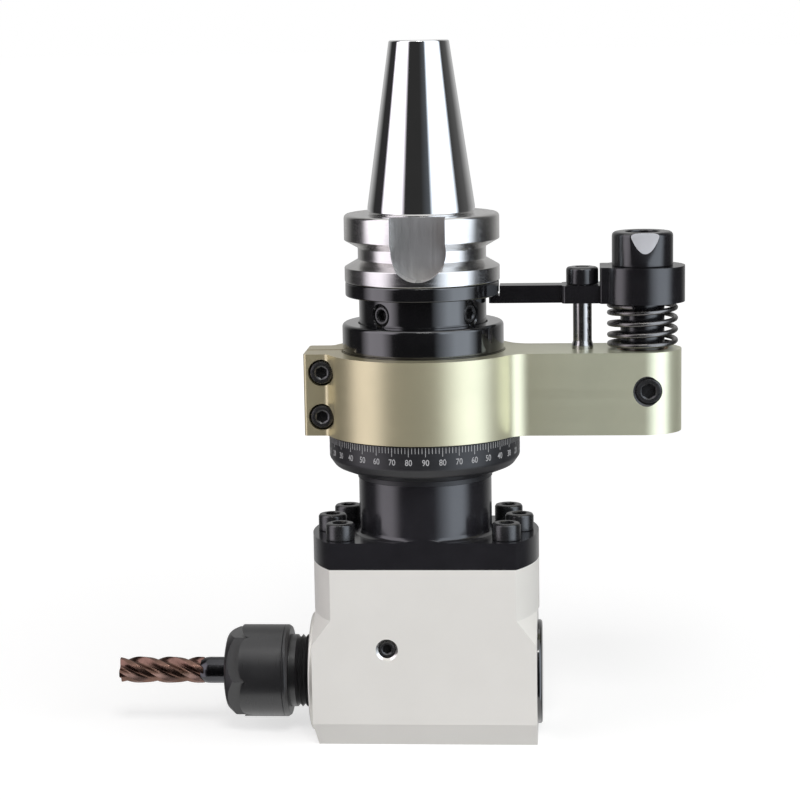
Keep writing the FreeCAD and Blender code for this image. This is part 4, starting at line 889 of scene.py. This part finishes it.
# %% Bore the housing
combine(case, turn("cross_bore", [(0, 17), (14, 17), (14, 35), (0, 35)], way="tool", steps=96))
combine(case, turn("gear_room", [(0, -22.6), (13.4, -22.6), (13.4, 17.5), (0, 17.5)], way="tool", steps=96))
combine(case, turn("rear_bore", [(0, -35), (12, -35), (12, -22), (0, -22)], way="tool", steps=96))
combine(case, turn("chamber", [(0, 18), (14.2, 18), (14.2, 56), (0, 56)], steps=96))
combine(case, turn("grease_hole", [(0, 0), (2.6, 0), (2.6, 19.3), (3.35, 20.05), (0, 20.05)], way="front",
                   x=GREASE_X, z=GREASE_Z, steps=64))
case.data.materials.append(PAINT)
case.data.materials.append(BRIGHT_EDGE)
for face in case.data.polygons:
    from_hole = math.hypot(face.center.x / MM - GREASE_X, face.center.z / MM - GREASE_Z)
    if from_hole < 3.6 and -20.1 < face.center.y / MM < -2 and face.normal.y > -0.95:
        face.material_index = 1
hand_over(case, "housing", PAINT, "gear_housing", angle=25)
plug = set_screw("plug", 5.15, 6.0, 2.5)
hand_over(copy_of(plug, "grease_screw_body", moved(GREASE_X, -19.1, GREASE_Z) @ to_front),
          "housing", OXIDE, "grease_screw")
bpy.data.objects.remove(plug)

# %% [markdown]
# ## The cutter side
# From the housing outwards: a pale ring that holds the bearings, the threaded nose, the collet
# nut and a four flute end mill with a copper coloured coating.

# %% Nose ring and rear cap
CAP_END = -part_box("nose_cap")[0].x / MM
ring = turn("nose_cap_body", [
    (11.3, 31.0), (14, 31.0), (14, SIDE), (17.9, SIDE), (17.9, CAP_END, 0.6), (16.4, CAP_END, 0.1),
    (16.4, CAP_END - 0.4), (16.0, CAP_END - 0.4), (16.0, CAP_END, 0.1), (12.6, CAP_END, 0.2), (12.6, SIDE),
    (11.3, SIDE)], way="tool", steps=128, ring=True)
hand_over(ring, "housing", NICKEL, "nose_cap")
cap = turn("rear_cap_body", [
    (0, -34.8), (15.7, -34.8, 0.8), (15.7, -SIDE), (12, -SIDE), (12, -28.6), (9.4, -28.6), (9.4, -SIDE),
    (0, -SIDE)], way="tool", steps=128)
hand_over(cap, "housing", BLACK, "rear_cap")

# %% Collet nut
nut = turn("collet_nut_body", [
    (10.1, 41.7), (13.4, 41.7, 0.3), (14.0, 42.6, 0.3), (14.0, 43.3), (13.8, 43.45), (14.0, 43.6),
    (14.0, 58.0, 1.5), (11.2, 61.0, 2.6), (8.4, 61.6, 0.4), (7.3, 61.6), (7.3, 58.6), (8.2, 57.5),
    (10.1, 57.5)], way="tool", steps=144, ring=True)
FLAT_HALF, MILL_R, RUN_OUT = 12, 3.6, -53.2
mill_path = [(-63, FLAT_HALF), (RUN_OUT, FLAT_HALF)]
mill_path += arc((RUN_OUT, 15.6), MILL_R, 270, 180, 10)[1:] + [(-49.6, 17), (-63, 17)]
for k in range(6):
    flank = draw("flank", [(a * MM, -8.5 * MM, b * MM) for a, b in mill_path])
    pull((0, 17, 0))
    only(flank)
    flank.matrix_world = Matrix.Translation((0, 0, TOOL_Z * MM)) @ Matrix.Rotation(math.radians(60 * k), 4, "X")
    combine(nut, bake_place(flank))
round_edges(nut, 0.22, 2, 22)
hand_over(nut, "cutter_drive", OXIDE_TOOL, "collet_nut")


# %% [markdown]
# ## The end mill
# Four flutes run round the cutter like a steep thread. One cross section is drawn with its
# lands and gullets, then extruded towards the tip in small steps that each turn it a little.
# The plain shank behind them is a turned piece of its own.

# %% Mill the flutes
def cutter_section():
    """One ring of points: land, relief, gullet, rising to the next edge."""
    shape = ((0, 4.0), (4, 3.99), (14, 3.93), (24, 3.84), (32, 3.4), (40, 2.8), (48, 2.4), (58, 2.25),
             (68, 2.4), (76, 2.85), (83, 3.4), (88, 3.85))
    ring = []
    for flute in range(4):
        for angle, reach in shape:
            a = math.radians(90 * flute + angle)
            ring.append((reach * math.cos(a), reach * math.sin(a)))
    return ring


FLUTE_START, TIP, TWIST, SLICES = 68.7, 94.5, 250.0, 60
section = [(-FLUTE_START * MM, b * MM, (TOOL_Z + a) * MM) for a, b in cutter_section()]
mill = draw("end_mill_flutes", section)
bpy.ops.mesh.select_all(action="SELECT")
bpy.ops.mesh.edge_face_add()
for k in range(SLICES):
    bpy.ops.mesh.extrude_region_move(
        TRANSFORM_OT_translate={"value": (-(TIP - FLUTE_START) / SLICES * MM, 0, 0)})
    bpy.ops.transform.rotate(value=math.radians(TWIST) / SLICES, orient_axis="X",
                             center_override=(0, 0, TOOL_Z * MM))
bpy.ops.mesh.inset(thickness=1.1 * MM, depth=-0.5 * MM)
face_out()
bpy.ops.object.mode_set(mode="OBJECT")
hand_over(mill, "cutter_drive", CARBIDE, "end_mill", angle=38)
stem = turn("end_mill_shank", [(0, 40), (4, 40), (4, 67.0), (3.85, 68.2), (3.1, 69.6), (0, 69.6)],
            way="tool", steps=64)
hand_over(stem, "cutter_drive", SHANK)

# %% [markdown]
# ## The studio
# Polished steel has no look of its own, it shows the room. The photograph's stripes come from
# two soft boxes with dark space between and behind them. Round walls that only reflections
# see carry such lights. They fade towards their rims, so the stripes have soft edges. Lamps
# and world light matt surfaces at a plain level.

# %% World
scene = bpy.context.scene
scene.view_settings.view_transform = "Standard"
world = bpy.data.worlds.new("studio")
scene.world = world
world.use_nodes = True


def seen_directly(tree):
    """1 for rays of the camera, of reflections and through glass, 0 for the light itself."""
    path = add_node(tree, "LightPath")
    first = add_node(tree, "Math")
    second = add_node(tree, "Math")
    first.operation = second.operation = "MAXIMUM"
    wire(tree, (path.outputs["Is Camera Ray"], first.inputs[0]),
         (path.outputs["Is Glossy Ray"], first.inputs[1]), (first.outputs[0], second.inputs[0]),
         (path.outputs["Is Transmission Ray"], second.inputs[1]))
    return second.outputs[0]


tree = world.node_tree
fill = tree.nodes["Background"]
white = add_node(tree, "Background")
for background, strength in ((fill, 0.22), (white, 1.0)):
    fill_in(background, {"Color": (1, 1, 1, 1), "Strength": strength})
choose = add_node(tree, "MixShader")
wire(tree, (seen_directly(tree), choose.inputs[0]), (fill.outputs[0], choose.inputs[1]),
     (white.outputs[0], choose.inputs[2]), (choose.outputs[0], tree.nodes["World Output"].inputs["Surface"]))
print("the world is white to the camera and dim as a light")

# %% [markdown]
# ## The floor
# The floor takes the object's shadow, and a glow of its own lifts it to white. The glow grows
# with the distance, so that the floor ends in the white world without a line.

# %% Floor
only()
bpy.ops.mesh.primitive_plane_add(size=60, location=(0, 0, 0))
floor = bpy.context.object
floor.name = "floor"
paper = bpy.data.materials.new("white_paper")
paper.use_nodes = True
tree = paper.node_tree
tree.nodes.remove(tree.nodes["Principled BSDF"])
matt = add_node(tree, "BsdfDiffuse", {"Color": (0.5, 0.5, 0.5, 1)})
glow = add_node(tree, "Emission")
both = add_node(tree, "AddShader")
spot = add_node(tree, "TexCoord")
away = add_node(tree, "VectorMath")
away.operation = "LENGTH"
far = add_node(tree, "MapRange", {"From Min": 0.08, "From Max": 0.65, "To Min": 0.64, "To Max": 0.90})
lift = add_node(tree, "Math")
lift.operation = "MULTIPLY"
wire(tree, (spot.outputs["Object"], away.inputs[0]), (away.outputs["Value"], far.inputs["Value"]),
     (far.outputs["Result"], lift.inputs[1]), (seen_directly(tree), lift.inputs[0]),
     (lift.outputs[0], glow.inputs["Strength"]), (matt.outputs[0], both.inputs[0]),
     (glow.outputs[0], both.inputs[1]), (both.outputs[0], tree.nodes["Material Output"].inputs["Surface"]))
floor.data.materials.append(paper)
floor.visible_glossy = False

# %% Walls that only reflections see
CAMERA_TURN, BRIGHTEST = 4.263, 2.5
WALL_REACH, WALL_LOW, WALL_SPLIT, WALL_TOP = 0.5, -0.45, 0.11, 0.8
ROSY, COOL, PLAIN = (1.03, 0.98, 1.07), (0.93, 1.02, 1.14), (1, 1, 1)
# Angle and level: each light fades in, stays full and fades out; the back of the room is pale.
LOWER = [(-180, 0.5), (-150, 0.4), (-125, 0.04), (-98, 0.04), (-80, 1.5), (-60, 1.5), (-43, 0.03), (14, 0.02),
         (45, 2.0), (65, 2.0), (82, 0.04), (115, 0.04), (150, 0.5), (180, 0.5)]
UPPER = [(-180, 0.5), (-150, 0.5), (-120, 0.03), (-95, 0.03), (-87, 1.7), (-46, 1.7), (-36, 0.03), (0, 0.03),
         (18, 0.1), (27, 1.9), (74, 1.9), (86, 0.05), (115, 0.1), (150, 0.5), (180, 0.5)]


def wall(name, low, high, levels):
    """A round wall that glows by the angle it stands at; 0 degrees is the camera's side."""
    seam = math.radians(CAMERA_TURN - 90)
    wide = draw(name, [(-WALL_REACH * math.cos(seam), -WALL_REACH * math.sin(seam), z) for z in (low, high)])
    bpy.ops.mesh.select_all(action="SELECT")
    bpy.ops.mesh.spin(steps=96, angle=2 * math.pi, center=(0, 0, 0), axis=(0, 0, 1))
    bpy.ops.mesh.remove_doubles(threshold=0.0001)
    bpy.ops.object.mode_set(mode="OBJECT")
    tone = bpy.data.materials.new(name)
    tone.use_nodes = True
    tree = tone.node_tree
    tree.nodes.remove(tree.nodes["Principled BSDF"])
    place = add_node(tree, "TexCoord")
    turned = add_node(tree, "Mapping")
    turned.inputs["Rotation"].default_value[2] = math.radians(90 - CAMERA_TURN)
    round_it = add_node(tree, "TexGradient")
    round_it.gradient_type = "RADIAL"
    ramp = add_node(tree, "ValToRGB")
    glow = add_node(tree, "Emission", {"Strength": BRIGHTEST})
    marks = ramp.color_ramp.elements
    for k, (angle, level) in enumerate(levels):
        mark = marks[0] if k == 0 else marks[-1] if k == len(levels) - 1 else marks.new(0.5 + angle / 360)
        mark.position = 0.5 + angle / 360
        tint = COOL if 14 < angle < 80 else ROSY if -100 < angle < -40 else PLAIN
        mark.color = (*(min(1, level / BRIGHTEST * part) for part in tint), 1)
    wire(tree, (place.outputs["Object"], turned.inputs["Vector"]),
         (turned.outputs["Vector"], round_it.inputs["Vector"]),
         (round_it.outputs["Fac"], ramp.inputs["Fac"]), (ramp.outputs["Color"], glow.inputs["Color"]),
         (glow.outputs[0], tree.nodes["Material Output"].inputs["Surface"]))
    wide.data.materials.append(tone)
    wide.visible_camera = wide.visible_diffuse = wide.visible_shadow = False
    wide.visible_transmission = wide.visible_volume_scatter = False
    print(name, "of", len(wide.data.polygons), "faces and", len(marks), "levels")


wall("wall_lower", WALL_LOW, WALL_SPLIT, LOWER)
wall("wall_upper", WALL_SPLIT, WALL_TOP, UPPER)

# %% Soft boxes
def soft_box(name, turn_deg, lift_deg, away, size, power, tint):
    """An area lamp that looks at the middle of the object."""
    a, e = math.radians(-90 + CAMERA_TURN + turn_deg), math.radians(lift_deg)
    aim = Vector((0, 0, 0.1))
    place = aim + Vector((math.cos(a) * math.cos(e), math.sin(a) * math.cos(e), math.sin(e))) * away
    data = bpy.data.lights.new(name, "AREA")
    data.shape, data.size, data.size_y, data.energy, data.color = "RECTANGLE", *size, power, tint
    lamp = bpy.data.objects.new(name, data)
    lamp.location = place
    lamp.rotation_euler = (aim - place).to_track_quat("-Z", "Y").to_euler()
    scene.collection.objects.link(lamp)
    return lamp


for lamp in (soft_box("box_left", -64, 12, 0.9, (0.98, 0.9), 4.7, (1.0, 0.965, 0.975)),
             soft_box("box_right", 54, 12, 0.9, (1.1, 0.9), 7.6, (0.98, 1.0, 1.01))):
    lamp.visible_glossy = False
soft_box("box_above", 2, 48, 1.0, (0.3, 0.35), 3.3, (1.0, 0.995, 0.98))

# %% [markdown]
# ## The camera
# The photograph was taken from a little above and a little to the right with a long lens, so
# the two axes look almost parallel.

# %% Place the camera
AIM, AWAY = Vector((-7.229, 0, 101.5)) * MM, 704.3 * MM
RISE, SIDEWAYS, ROLL = math.radians(9.024), math.radians(CAMERA_TURN), math.radians(-0.959)
back = Vector((math.sin(SIDEWAYS) * math.cos(RISE), -math.cos(SIDEWAYS) * math.cos(RISE), math.sin(RISE)))
right = (-back).cross(Vector((0, 0, 1))).normalized()
up = right.cross(-back)
right, up = (right * math.cos(ROLL) + up * math.sin(ROLL), up * math.cos(ROLL) - right * math.sin(ROLL))
data = bpy.data.cameras.new("camera")
data.sensor_width, data.lens = 36.0, 105.885
data.clip_start, data.clip_end = 0.01, 20
camera = bpy.data.objects.new("camera", data)
camera.matrix_world = Matrix.Translation(AIM + back * AWAY) @ Matrix((right, up, back)).transposed().to_4x4()
scene.collection.objects.link(camera)
scene.camera = camera
print("camera at", [round(v / MM, 1) for v in camera.location])

# %% Leave nothing selected
only()
